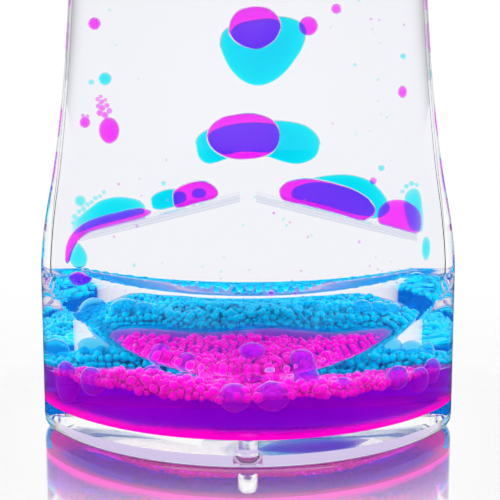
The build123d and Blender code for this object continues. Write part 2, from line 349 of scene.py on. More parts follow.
@dataclass(frozen=True)
class SettledWater(DyedWater):
    """Dyed water that has lain on the floor. Along the wall, its lowest layer has a painted bright
    band: more milk shows there, for the light that reaches it from below.
    """

    # Painted light: the milk share of the bright band, then its top and the width of its edge.
    lit_band_share: float = 0.6
    lit_band_top: float = 5.1
    lit_band_edge: float = 0.6
    ripple_length: float = 9.0
    ripple_height: float = 1.6
    reach_x: float = 29.75
    reach_y: float = 19.75
    rim_start: float = 0.84
    rim_fade: float = 0.1

    def build(self) -> bpy.types.Material:
        """Makes the settled water.

        Returns:
            The material.
        """
        material, tree, output = new_material(self.name)
        mixed = self.skin(tree, output)
        place = add_node(tree, "ShaderNodeTexCoord")
        axes = add_node(tree, "ShaderNodeSeparateXYZ", links={0: place.outputs["Object"]})
        ripple = add_node(tree, "ShaderNodeTexNoise",
                          values={"Scale": 1 / (self.ripple_length * MM), "Detail": 2.0},
                          links={"Vector": place.outputs["Object"]})
        wavy = add_node(tree, "ShaderNodeMath", {"operation": "MULTIPLY_ADD"},
                        {1: self.ripple_height * MM},
                        {0: ripple.outputs["Fac"], 2: axes.outputs["Z"]})
        top = self.lit_band_top + self.ripple_height / 2
        low = add_node(tree, "ShaderNodeMapRange", {"interpolation_type": "SMOOTHSTEP"},
                       {"From Min": (top - self.lit_band_edge) * MM,
                        "From Max": (top + self.lit_band_edge) * MM, "To Min": 1.0, "To Max": 0.0},
                       {"Value": wavy.outputs[0]})
        plan = add_node(tree, "ShaderNodeMapping", {"vector_type": "POINT"},
                        {"Scale": (1 / (self.reach_x * MM), 1 / (self.reach_y * MM), 0.0)},
                        {"Vector": place.outputs["Object"]})
        away = add_node(tree, "ShaderNodeVectorMath", {"operation": "LENGTH"},
                        links={0: plan.outputs[0]})
        rim = add_node(tree, "ShaderNodeMapRange", {"interpolation_type": "SMOOTHSTEP"},
                       {"From Min": self.rim_start, "From Max": self.rim_start + self.rim_fade},
                       {"Value": away.outputs["Value"]})
        # Painted light: the bright band, low down and along the wall.
        lit_band_mask = add_node(tree, "ShaderNodeMath", {"operation": "MULTIPLY"},
                          links={0: low.outputs[0], 1: rim.outputs[0]})
        share = add_node(tree, "ShaderNodeMapRange", {},
                         {"To Min": self.glow_share, "To Max": self.lit_band_share},
                         {"Value": lit_band_mask.outputs[0]})
        tree.links.new(share.outputs[0], mixed.inputs[0])
        return material


LIQUIDS: dict[tuple[State, Dye], DyedWater] = {
    # Free drops are clear and evenly dyed, so magenta in front of cyan gives violet.
    (State.HANGING, Dye.MAGENTA): DyedWater(
        "glycol_dyed_magenta", glow="#FFB4FF", absorption=(0.0, 1.8, 0.005), glow_share=0.08),
    (State.HANGING, Dye.CYAN): DyedWater(
        "glycol_dyed_cyan", glow="#30D8FF", absorption=(1.8, 0.05, 0.005), glow_share=0.0),
    # Merged water is deep in colour, with a painted bright band low along the wall, for light from
    # below.
    (State.SETTLED, Dye.MAGENTA): SettledWater(
        "glycol_settled_magenta", glow="#FF00C8", absorption=(0.002, 0.5, 0.01), glow_share=0.13,
        ior=0.99, lit_band_share=0.85),
    (State.SETTLED, Dye.CYAN): SettledWater(
        "glycol_settled_cyan", glow="#00A0FF", absorption=(0.5, 0.04, 0.002), glow_share=0.3,
        ior=0.99, lit_band_share=0.3),
    # Foam is milky, and each of its drops has a painted highlight, a pale outline.
    (State.FOAMED, Dye.MAGENTA): UnmergedWater(
        "glycol_foamed_magenta", glow="#FF14E2", absorption=(0.0, 0.3, 0.004), glow_share=0.5,
        ior=0.95),
    (State.FOAMED, Dye.CYAN): UnmergedWater(
        "glycol_foamed_cyan", glow="#00D6FF", absorption=(0.5, 0.01, 0.001), glow_share=0.93,
        ior=0.95, rim="#D8FAFF"),
    # Large drops in the pools are half clear, with a broader painted highlight along the outline.
    (State.UNMERGED, Dye.MAGENTA): UnmergedWater(
        "glycol_unmerged_magenta", glow="#9C20F0", absorption=(0.0, 0.4, 0.006), glow_share=0.35,
        ior=0.97, highlight_power=3.0, highlight_share=0.95),
    (State.UNMERGED, Dye.CYAN): UnmergedWater(
        "glycol_unmerged_cyan", glow="#20C8FF", absorption=(0.5, 0.03, 0.002), glow_share=0.3,
        ior=0.97, rim="#D8FAFF"),
}


@dataclass
class Finishes:
    """All the materials of the timer, built once.

    The cast sheet shows a faint grey edge in the oil, the cemented plug shows as a clear pillar in
    the foot, and the oil itself can't be told from the acrylic round it.
    """

    case: bpy.types.Material = field(default_factory=MouldedAcrylic().build)
    wetted: bpy.types.Material = field(default_factory=WettedAcrylic().build)
    sheet: bpy.types.Material = field(
        default_factory=WettedAcrylic("acrylic_sheet_cast_in_oil", "#F4F5FA", 1.07).build)
    plug: bpy.types.Material = field(
        default_factory=WettedAcrylic("acrylic_plug_cemented", "#FFFFFF", 1.35).build)
    oil: bpy.types.Material = field(
        default_factory=WettedAcrylic("mineral_oil_clear", "#FFFFFF", 1.0).build)
    liquids: dict[tuple[State, Dye], bpy.types.Material] = field(
        default_factory=lambda: {key: water.build() for key, water in LIQUIDS.items()})


@dataclass
class Hourglass:
    """Shape of the case as the CAD has it: where its walls stand at each height and angle.

    Softness rounds the creases between neck, shoulder and base, less towards the two ends. The
    mesh's columns crowd round the two noses and its rows round the shoulder. The neck's half width
    is given at stations from mid-height, both as shares.
    """

    height: float = 160.0
    base_half_width: float = 32.0
    base_half_depth: float = 22.0
    base_nose: float = 12.0
    neck_half_depth: float = 9.5
    neck_nose: float = 3.84
    waist_half_width: float = 26.3
    flare_half_width: float = 32.25
    eaves: float = 13.7
    shoulder_top: float = 21.5
    block_top: float = 24.0
    softness: float = 0.8
    softness_gain: float = 4.0
    softness_start: float = 0.4
    softness_least: float = 0.02
    columns: int = 192
    crowding: float = 0.42
    rows_below: int = 8
    rows_neck: int = 24
    row_step: float = 0.3
    fine_below: float = 1.6
    fine_above: float = 1.4
    station_shares: tuple[float, ...] = (0.0, 0.175, 0.3625, 0.5, 0.6125, 0.6875, 0.85)
    width_shares: tuple[float, ...] = (0.0, 0.118, 0.345, 0.605, 0.89, 1.0, 0.79)

    def face_radius(self, half_width: float, half_depth: float, nose: float) -> float:
        """Radius of the broad faces of a four-arc oval.

        Args:
            half_width: Half its width.
            half_depth: Half its depth.
            nose: Radius of its two noses.

        Returns:
            The broad faces' radius.
        """
        gap = half_width - nose
        return (half_depth**2 + gap**2 - nose**2) / (2 * (half_depth - nose))

    def crowded(self, turn: np.ndarray) -> np.ndarray:
        """Turns even steps round the axis into directions that crowd round the two noses.

        Args:
            turn: The even steps.

        Returns:
            The directions.
        """
        return np.arctan2(self.crowding * np.sin(turn), np.cos(turn))

    def angles(self) -> np.ndarray:
        """Directions of the mesh's columns."""
        return self.crowded(np.arange(self.columns) / self.columns * math.tau)

    def oval(self, angle: np.ndarray, half_width: float, half_depth: float,
             face: float) -> np.ndarray:
        """Distance from the axis to a four-arc oval.

        Args:
            angle: Directions in plan.
            half_width: Half the oval's width.
            half_depth: Half its depth.
            face: Radius of its broad faces.

        Returns:
            The distance in each direction.
        """
        reach = face - half_depth
        nose = (face**2 - half_width**2 - reach**2) / (2 * (face - half_width))
        meet = face * (half_width - nose) / (face - nose)
        c, s = np.abs(np.cos(angle)), np.abs(np.sin(angle))
        broad = -s * reach + np.sqrt(s**2 * reach**2 + face**2 - reach**2)
        back = half_width - nose
        round_nose = c * back + np.sqrt(np.maximum(c**2 * back**2 - back**2 + nose**2, 0.0))
        return np.where(c * broad <= meet, broad, round_nose)

    def neck_half_width(self, level: float) -> float:
        """Half width of the neck at a height, on a smooth curve through the CAD's stations.

        Args:
            level: Height over the table.

        Returns:
            The half width.
        """
        stations, shares = np.array(self.station_shares), np.array(self.width_shares)
        slopes = np.gradient(shares, stations)
        slopes[0] = 0.0
        at = min(abs(level - self.height / 2) / (self.height / 2), stations[-1])
        k = min(int(np.searchsorted(stations, at, side="right")) - 1, len(stations) - 2)
        step = stations[k + 1] - stations[k]
        t = (at - stations[k]) / step
        curve = ((2 * t**3 - 3 * t**2 + 1) * shares[k] + (t**3 - 2 * t**2 + t) * step * slopes[k]
                 + (3 * t**2 - 2 * t**3) * shares[k + 1] + (t**3 - t**2) * step * slopes[k + 1])
        share = min(max(curve, 0.0), 1.0)
        return self.waist_half_width + share * (self.flare_half_width - self.waist_half_width)

    def wall(self, angle: np.ndarray, level: float, inset: float) -> np.ndarray:
        """Distance from the axis to the case's wall, drawn in by inset.

        Args:
            angle: Directions in plan.
            level: Height over the table.
            inset: How far inside the outer skin.

        Returns:
            The distance in each direction.
        """
        neck_face = self.face_radius(self.flare_half_width, self.neck_half_depth, self.neck_nose)
        base_face = self.face_radius(self.base_half_width, self.base_half_depth, self.base_nose)
        neck = self.oval(angle, self.neck_half_width(level) - inset, self.neck_half_depth - inset,
                         neck_face - inset)
        base = self.oval(angle, self.base_half_width - inset, self.base_half_depth - inset,
                         base_face - inset)
        slope = (self.shoulder_top - self.eaves) / (self.base_half_depth - self.neck_half_depth)
        low = min(level, self.height - level)
        eaves = self.eaves - inset * math.hypot(1, slope)
        roof = self.base_half_depth - (low - eaves) / slope
        if low > self.block_top - inset or roof <= 0:
            return neck
        across = np.abs(np.sin(angle))
        roof_reach = roof / np.maximum(across, TINY)
        soft = self.softness * np.clip(across * self.softness_gain - self.softness_start,
                                       self.softness_least, 1.0)
        block = np.minimum(base, roof_reach) - easing(base, roof_reach, soft)
        return np.maximum(neck, block) + easing(neck, block, soft)

    def levels(self, start: float, inset: float) -> list[float]:
        """Heights of the mesh's rows from start to mid-height, close together at the shoulder.

        Args:
            start: The lowest row.
            inset: How far inside the outer skin.

        Returns:
            Heights, rising.
        """
        fine_low = self.eaves - inset - self.fine_below
        fine_high = self.block_top + self.fine_above
        below = np.linspace(start, fine_low, self.rows_below, endpoint=False)
        shoulder = np.arange(fine_low, fine_high, self.row_step)
        neck = np.linspace(fine_high, self.height / 2, self.rows_neck)
        return [*below, *shoulder, *neck]

    def full_height(self, lower: list[float]) -> list[float]:
        """Heights of the lower half's rows, followed by the same ones mirrored.

        Args:
            lower: Heights up to mid-height.

        Returns:
            Heights from the bottom to the top.
        """
        return lower + [self.height - z for z in lower[-2::-1]]

    def ring(self, radii: np.ndarray, level: float) -> np.ndarray:
        """Points at these distances from the axis, one in each column's direction.

        Args:
            radii: Distance in each direction.
            level: Height over the table.

        Returns:
            The points.
        """
        angle = self.angles()
        return np.column_stack((radii * np.cos(angle), radii * np.sin(angle),
                                np.full(len(angle), level)))


def easing(first: np.ndarray, second: np.ndarray, soft: np.ndarray) -> np.ndarray:
    """How far the rounding of a crease between two walls stands off the crease.

    Args:
        first: Distance to one wall.
        second: Distance to the other.
        soft: Width of the rounding.

    Returns:
        The distances.
    """
    return np.maximum(soft - np.abs(first - second), 0) ** 2 / (4 * soft)


def curve_point(knots: list[np.ndarray] | np.ndarray, t: float) -> np.ndarray:
    """A point on the smooth curve between the middle two of four knots.

    Args:
        knots: The four knots.
        t: How far it is on its way from the second to the third, from 0 to 1.

    Returns:
        The point.
    """
    a, b, c, d = knots
    return 0.5 * (2 * b + (c - a) * t + (2 * a - 5 * b + 4 * c - d) * t**2
                  + (3 * b - a - 3 * c + d) * t**3)


def strips(first: int, rings: int, columns: int, outward: bool) -> list[tuple[int, ...]]:
    """Quads between rings of points that rise.

    Args:
        first: Number of the first point.
        rings: How many rings.
        columns: Points in a ring.
        outward: False turns the faces towards the axis.

    Returns:
        The faces.
    """
    faces = []
    for i in range(rings - 1):
        for j in range(columns):
            a, b = first + i * columns + j, first + i * columns + (j + 1) % columns
            quad = (a, b, b + columns, a + columns)
            faces.append(quad if outward else quad[::-1])
    return faces


def tube_faces(rings: int, columns: int, outward: bool = True) -> list[tuple[int, ...]]:
    """Faces of a closed tube: quads between its rings and a cap at each end.

    Args:
        rings: How many rings.
        columns: Points in a ring.
        outward: False turns the faces over.

    Returns:
        The faces.
    """
    low = tuple(range(columns))
    high = tuple((rings - 1) * columns + k for k in low)
    caps = [low[::-1], high] if outward else [low, high[::-1]]
    return strips(0, rings, columns, outward) + caps


def plate(loops: list[np.ndarray], level: float, upward: bool) -> tuple[np.ndarray, list]:
    """Flat plate at a height, bounded by its first loop and with the others as holes.

    Args:
        loops: Closed loops of points in plan, anticlockwise.
        level: Its height.
        upward: Whether it faces up.

    Returns:
        Its points and its faces.
    """
    flat = [Vector(p[:2]) for loop in loops for p in loop]
    edges, start = [], 0
    for loop in loops:
        count = len(loop)
        edges += [(start + k, start + (k + 1) % count) for k in range(count)]
        start += count
    made = delaunay_2d_cdt(flat, edges, [], 0, CLOSE)
    spots, faces = made[0], made[2]
    rim = np.asarray(loops[0])[:, :2]
    keep = []
    for face in faces:
        middle = sum((spots[k] for k in face), Vector((0, 0))) / len(face)
        if not inside(rim, middle) or any(inside(hole[:, :2], middle) for hole in loops[1:]):
            continue
        area = sum(spots[face[k - 1]].cross(spots[face[k]]) for k in range(len(face)))
        keep.append(tuple(face) if (area > 0) == upward else tuple(face)[::-1])
    return np.array([(p.x, p.y, level) for p in spots]), keep


def inside(loop: np.ndarray, spot: Vector) -> bool:
    """Whether a spot lies inside a closed loop in plan.

    Args:
        loop: The loop's points.
        spot: The spot.

    Returns:
        True if it does.
    """
    a, b = loop, np.roll(loop, -1, axis=0)
    crosses = (a[:, 1] > spot.y) != (b[:, 1] > spot.y)
    rise = np.where(crosses, b[:, 1] - a[:, 1], 1.0)
    at = a[:, 0] + (spot.y - a[:, 1]) / rise * (b[:, 0] - a[:, 0])
    return bool(np.count_nonzero(crosses & (spot.x < at)) % 2)


@dataclass
class MeshStore:
    """Points, faces and material slots of a mesh that is put together from several parts."""

    points: list[np.ndarray] = field(default_factory=list)
    faces: list[tuple[int, ...]] = field(default_factory=list)
    slots: list[int] = field(default_factory=list)
    count: int = 0

    def add(self, points: np.ndarray, faces: list[tuple[int, ...]],
            slot: int = CaseFace.OUTER.value) -> None:
        """Adds a part.

        Args:
            points: Its points.
            faces: Its faces, counted from its own first point.
            slot: Its material slot.
        """
        self.points.append(points)
        self.faces += [tuple(k + self.count for k in face) for face in faces]
        self.slots += [slot] * len(faces)
        self.count += len(points)


@dataclass
class Case:
    """The clear case: both moulded halves, welded into one, with a filling port in each foot."""

    shape: Hourglass
    wall: float = 2.2
    floor_level: float = 4.0
    recess_depth: float = 1.8
    skirt_wall: float = 3.0
    foot_round: float = 2.0
    foot_steps: int = 5
    floor_round: float = 0.5
    floor_steps: int = 3
    port_offset: float = 16.8
    port_radius: float = 1.4
    boss_radius: float = 1.6
    boss_level: float = 0.9
    port_sides: int = 40

    def circle(self, radius: float, side: Side) -> np.ndarray:
        """Points of a circle round a filling port.

        Args:
            radius: Its radius.
            side: Which half of the case.

        Returns:
            The points in plan.
        """
        turn = np.arange(self.port_sides) / self.port_sides * math.tau
        return np.column_stack((radius * np.cos(turn),
                                side.value * self.port_offset + radius * np.sin(turn)))

    def tube(self, radius: float, low: float, high: float, side: Side) -> np.ndarray:
        """Two rings of points of an upright round wall.

        Args:
            radius: Its radius.
            low: Its lower height.
            high: Its upper height.
            side: Which half of the case.

        Returns:
            The points, lower ring first.
        """
        plan = self.circle(radius, side)
        rings = [np.column_stack((plan, np.full(len(plan), z))) for z in (low, high)]
        return np.vstack(rings)

    def outer_rings(self) -> list[np.ndarray]:
        """Lays out the lower half's outer skin, from the recess out and up to mid-height.

        Returns:
            Rings of points.
        """
        shape, angle = self.shape, self.shape.angles()
        skirt = shape.wall(angle, 0.0, self.skirt_wall)
        rings = [shape.ring(skirt, self.recess_depth), shape.ring(skirt, 0.0)]
        for k in range(self.foot_steps + 1):
            lean = k / self.foot_steps * math.pi / 2
            inset = self.foot_round * (1 - math.sin(lean))
            level = self.foot_round * (1 - math.cos(lean))
            rings.append(shape.ring(shape.wall(angle, 0.0, inset), level))
        for level in shape.levels(self.foot_round, 0.0)[1:]:
            rings.append(shape.ring(shape.wall(angle, level, 0.0), level))
        return rings

    def inner_rings(self) -> list[np.ndarray]:
        """Lays out the lower half's cavity, from its floor up to mid-height.

        Returns:
            Rings of points.
        """
        shape, angle, corner = self.shape, self.shape.angles(), self.floor_round
        rings = []
        for k in range(self.floor_steps + 1):
            lean = k / self.floor_steps * math.pi / 2
            inset = self.wall + corner * (1 - math.sin(lean))
            level = self.floor_level + corner * (1 - math.cos(lean))
            rings.append(shape.ring(shape.wall(angle, self.floor_level, inset), level))
        for level in shape.levels(self.floor_level + corner, self.wall)[1:]:
            rings.append(shape.ring(shape.wall(angle, level, self.wall), level))
        return rings

    def mirrored(self, rings: list[np.ndarray]) -> np.ndarray:
        """Rings of the lower half followed by those of the upper half, as one list of points.

        Args:
            rings: The lower half's rings, up to mid-height.

        Returns:
            All the points.
        """
        flip = np.array((1.0, 1.0, -1.0))
        lift = np.array((0.0, 0.0, self.shape.height))
        return np.vstack(rings + [ring * flip + lift for ring in rings[-2::-1]])

    def build(self, finishes: Finishes) -> bpy.types.Object:
        """Builds the case around its cavity.

        Args:
            finishes: The timer's materials.

        Returns:
            The case.
        """
        store, columns, wetted = MeshStore(), self.shape.columns, CaseFace.WETTED.value
        outer, inner = self.outer_rings(), self.inner_rings()
        store.add(self.mirrored(outer), strips(0, 2 * len(outer) - 1, columns, True))
        store.add(self.mirrored(inner), strips(0, 2 * len(inner) - 1, columns, False), wetted)
        bosses = [self.circle(self.boss_radius, side) for side in Side]
        bores = [self.circle(self.port_radius, side) for side in Side]
        height = self.shape.height
        store.add(*plate([outer[0], *bosses], self.recess_depth, False))
        store.add(*plate([outer[0]], height - self.recess_depth, True))
        store.add(*plate([inner[0], *bores], self.floor_level, True), wetted)
        store.add(*plate([inner[0]], height - self.floor_level, False), wetted)
        for side, boss, bore in zip(Side, bosses, bores):
            for radius, high, out in ((self.boss_radius, self.recess_depth, True),
                                      (self.port_radius, self.floor_level, False)):
                store.add(self.tube(radius, self.boss_level, high, side),
                          strips(0, 2, self.port_sides, out), wetted)
            store.add(*plate([boss, bore], self.boss_level, False), wetted)
        piece = mesh_object("case_body", np.vstack(store.points), store.faces,
                            [finishes.case, finishes.wetted], store.slots)
        return attach(piece, "case", "clear_case", "front_shell", "rear_shell")


@dataclass
class DividerSheet:
    """The flat clear panel between the halves, as far as the cavity shows it."""

    shape: Hourglass
    wall: float = 2.2
    floor_level: float = 4.0
    half_thickness: float = 0.58
    gap: float = 0.03

    def build(self, finishes: Finishes) -> bpy.types.Object:
        """Builds the sheet.

        Args:
            finishes: The timer's materials.

        Returns:
            The sheet.
        """
        levels = self.shape.full_height(
            self.shape.levels(self.floor_level + self.gap, self.wall))
        thick, rows = self.half_thickness, []
        for level in levels:
            half = float(self.shape.wall(np.zeros(1), level, self.wall + self.gap)[0])
            rows += [(-half, -thick, level), (half, -thick, level), (half, thick, level),
                     (-half, thick, level)]
        piece = mesh_object("divider_sheet", np.array(rows), tube_faces(len(levels), 4),
                            [finishes.sheet], smooth=False)
        return attach(piece, "case", "clear_sheet", "divider_panel")


@dataclass
class Drop:
    """A drop that moves: a smooth outline, seen from the front, that bulges in depth.

    It rides on its own body and stands for the CAD node of the same name, whose depth it takes.
    The outline's corners are X and Z. A drop that slides towards the end of the neck is thinner
    there, so that it clears the wall, an arc whose centre lies beyond the mid-plane.
    """

    node: str
    dye: Dye
    corners: tuple[tuple[float, float], ...]
    slide: float = 0.0
    fullness: float = 2.6
    around: int = 72
    rows: int = 13
    wall_radius: float = 75.67
    wall_centre: float = 68.47

    def outline(self) -> np.ndarray:
        """Rounds the corners off with a closed smooth curve through them.

        Returns:
            Points along the curve.
        """
        knots = np.array(self.corners, dtype=float)
        spots = []
        for at in np.arange(self.around) / self.around * len(knots):
            four = [knots[(int(at) + shift) % len(knots)] for shift in (-1, 0, 1, 2)]
            spots.append(curve_point(four, at % 1.0))
        return np.array(spots)

    def build(self, finishes: Finishes) -> bpy.types.Object:
        """Builds the drop.

        Args:
            finishes: The timer's materials.

        Returns:
            The drop.
        """
        low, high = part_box(self.node)
        near, far = low[1] / MM, high[1] / MM
        rim, power = self.outline(), 2 / self.fullness
        heart = rim.mean(axis=0)
        spots = [(heart[0], near, heart[1])]
        for row in range(1, self.rows):
            lean = row / self.rows * math.pi
            share = math.copysign(abs(math.cos(lean)) ** power, math.cos(lean))
            y = (near + far) / 2 - share * (far - near) / 2
            spots += [(x, y, z) for x, z in heart + (rim - heart) * math.sin(lean) ** power]
        points = np.array([*spots, (heart[0], far, heart[1])])
        if self.slide:
            ends = np.abs(points[:, 0]) + self.slide
            room = np.sqrt(self.wall_radius**2 - ends**2) - self.wall_centre
            points[:, 1] = np.clip(points[:, 1], -room, room)
        ring = range(self.around)
        faces = [(0, 1 + j, 1 + (j + 1) % self.around) for j in ring]
        faces += strips(1, self.rows - 1, self.around, False)
        last, top = len(points) - 1, len(points) - 1 - self.around
        faces += [(last, top + (j + 1) % self.around, top + j) for j in ring]
        area = sum(rim[k - 1][0] * rim[k][1] - rim[k][0] * rim[k - 1][1] for k in ring)
        if area < 0:
            faces = [face[::-1] for face in faces]
        piece = mesh_object(self.node + "_skin", points, faces,
                            [finishes.liquids[State.HANGING, self.dye]])
        return attach(piece, self.node, f"{self.dye.value}_liquid", self.node)


@dataclass
class Pool:
    """Merged dyed water on the floor of one half, with a wavy surface.

    Each wave has its share of the swell, its turns along and across in radians per millimetre, and
    where it starts.
    """

    shape: Hourglass
    side: Side
    dye: Dye
    level: float = 9.8
    wall: float = 2.25
    floor: float = 4.05
    panel: float = 0.66
    along: int = 72
    across: int = 24
    swell: float = 0.25
    waves: tuple[tuple[float, ...], ...] = ((1.0, 0.31, 0.0, 0.7), (0.8, 0.35, 0.62, 0.0))

    def height(self, x: np.ndarray, y: np.ndarray) -> np.ndarray:
        """Height of the pool's surface.

        Args:
            x: Place along the pool.
            y: Distance from the mid-plane.

        Returns:
            The heights.
        """
        wave = sum(share * np.sin(along * x + across * y + start)
                   for share, along, across, start in self.waves)
        return self.level + self.swell * wave

    def grid(self) -> tuple[np.ndarray, np.ndarray]:
        """Lays the plan of the pool out as a grid.

        Returns:
            Its places along and its distances from the mid-plane.
        """
        full = (self.shape.base_half_width, self.shape.base_half_depth, self.shape.base_nose)
        face = self.shape.face_radius(*full) - self.wall
        width, depth, nose = (size - self.wall for size in full)
        back = width - nose
        end = back + math.sqrt(nose**2 - self.panel**2)
        x = end * np.sin(np.linspace(-math.pi / 2, math.pi / 2, self.along))
        reach = face - depth
        meet = face * back / (face - nose)
        broad = np.sqrt(np.maximum(face**2 - x**2, 0.0)) - reach
        blunt = np.sqrt(np.maximum(nose**2 - np.maximum(np.abs(x) - back, 0.0) ** 2, 0.0))
        rim = np.where(np.abs(x) <= meet, broad, blunt)
        share = np.linspace(0, 1, self.across)
        y = self.panel + np.maximum(rim - self.panel, 0.0)[:, None] * share[None, :]
        return np.repeat(x[:, None], self.across, axis=1), y

    def surface(self, inset: float = 0.0) -> tuple[np.ndarray, list[tuple[int, ...]]]:
        """The pool's upper surface as a grid.

        Args:
            inset: How far its edge is drawn in from the walls.

        Returns:
            Points and upward faces.
        """
        x, y = self.grid()
        if inset:
            middle = (y[:, :1] + y[:, -1:]) / 2
            room = np.maximum(y[:, -1:] - y[:, :1], CLOSE)
            y = middle + (y - middle) * np.maximum(1 - 2 * inset / room, 0.0)
            x = x * (1 - inset / np.abs(x).max())
        z = self.height(x, y)
        points = np.column_stack((x.ravel(), (self.side.value * y).ravel(), z.ravel()))
        faces = []
        for i in range(self.along - 1):
            for j in range(self.across - 1):
                a = i * self.across + j
                quad = (a, a + self.across, a + self.across + 1, a + 1)
                faces.append(quad if self.side is Side.REAR else quad[::-1])
        return points, faces

    def build(self, finishes: Finishes) -> bpy.types.Object:
        """Builds the pool.

        Args:
            finishes: The timer's materials.

        Returns:
            The pool.
        """
        top, up = self.surface()
        bottom = top.copy()
        bottom[:, 2] = self.floor
        count = len(top)
        faces = list(up) + [tuple(k + count for k in face)[::-1] for face in up]
        edge = [i * self.across for i in range(self.along)]
        edge += [(self.along - 1) * self.across + j for j in range(1, self.across)]
        edge += [i * self.across + self.across - 1 for i in range(self.along - 2, -1, -1)]
        edge += [j for j in range(self.across - 2, 0, -1)]
        for k, a in enumerate(edge):
            b = edge[(k + 1) % len(edge)]
            quad = (a, a + count, b + count, b)
            faces.append(quad if self.side is Side.REAR else quad[::-1])
        piece = mesh_object(f"{self.dye.value}_pool", np.vstack((top, bottom)), faces,
                            [finishes.liquids[State.SETTLED, self.dye]])
        return attach(piece, "case", f"{self.dye.value}_liquid", f"{self.side.name.lower()}_pool")


def instance_tree(name: str, subdivisions: int, material: bpy.types.Material,
                  strew: bool) -> bpy.types.NodeTree:
    """Builds a node tree that sets a round drop on points.

    Args:
        name: The tree's name.
        subdivisions: Fineness of a drop: 2 gives 80 faces, 3 gives 320 and 4 gives 1280.
        material: The drops' material.
        strew: True strews points over the given faces, with Spacing, Smallest, Largest and Seed
            as inputs. False takes the given points, with their attribute "size".

    Returns:
        The tree.
    """
    densest = 1.2e7
    tree = bpy.data.node_groups.new(name, "GeometryNodeTree")
    face = tree.interface
    face.new_socket("Geometry", in_out="INPUT", socket_type="NodeSocketGeometry")
    if strew:
        for label in ("Spacing", "Smallest", "Largest"):
            face.new_socket(label, in_out="INPUT", socket_type="NodeSocketFloat")
        face.new_socket("Seed", in_out="INPUT", socket_type="NodeSocketInt")
    face.new_socket("Geometry", in_out="OUTPUT", socket_type="NodeSocketGeometry")
    given = add_node(tree, "NodeGroupInput").outputs
    ball = add_node(tree, "GeometryNodeMeshIcoSphere",
                    values={"Radius": 1.0, "Subdivisions": subdivisions})
    smooth = add_node(tree, "GeometryNodeSetShadeSmooth", links={"Geometry": ball.outputs["Mesh"]})
    if strew:
        spots = add_node(tree, "GeometryNodeDistributePointsOnFaces",
                         {"distribute_method": "POISSON"}, {"Density Max": densest},
                         {"Mesh": given["Geometry"], "Distance Min": given["Spacing"],
                          "Seed": given["Seed"]}).outputs["Points"]
        size = add_node(tree, "FunctionNodeRandomValue", {"data_type": "FLOAT"},
                        links={2: given["Smallest"], 3: given["Largest"],
                               "Seed": given["Seed"]}).outputs[1]
    else:
        spots = add_node(tree, "GeometryNodeMeshToPoints", {"mode": "VERTICES"},
                         links={"Mesh": given["Geometry"]}).outputs[0]
        size = add_node(tree, "GeometryNodeInputNamedAttribute", {"data_type": "FLOAT_VECTOR"},
                        {"Name": "size"}).outputs[0]
    placed = add_node(tree, "GeometryNodeInstanceOnPoints",
                      links={"Points": spots, "Instance": smooth.outputs[0], "Scale": size})
    real = add_node(tree, "GeometryNodeRealizeInstances", links={0: placed.outputs[0]})
    dyed = add_node(tree, "GeometryNodeSetMaterial", values={"Material": material},
                    links={"Geometry": real.outputs[0]})
    add_node(tree, "NodeGroupOutput", links={0: dyed.outputs[0]})
    return tree


def grown(name: str, seed_mesh: bpy.types.Object, tree: bpy.types.NodeTree,
          inputs: dict[str, float | int]) -> bpy.types.Object:
    """Runs a node tree on a mesh and keeps the result as a plain piece.

    Args:
        name: The piece's name.
        seed_mesh: What the tree starts from. It is removed.
        tree: The node tree.
        inputs: Values of the tree's inputs, by name.

    Returns:
        The piece.
    """
    modifier = seed_mesh.modifiers.new("grow", "NODES")
    modifier.node_group = tree
    for item in tree.interface.items_tree:
        if item.in_out == "INPUT" and item.name in inputs:
            modifier[item.identifier] = inputs[item.name]
    graph = bpy.context.evaluated_depsgraph_get()
    mesh = bpy.data.meshes.new_from_object(seed_mesh.evaluated_get(graph))
    seed_mesh.modifiers.clear()
    bpy.data.objects.remove(seed_mesh)
    piece = bpy.data.objects.new(name, mesh)
    bpy.context.scene.collection.objects.link(piece)
    return piece


@dataclass(frozen=True)
class Heap:
    """One heap of foam: its middle, with Y from the mid-plane, its two reaches and its height."""

    x: float
    y: float
    reach_x: float
    reach_y: float
    height: float


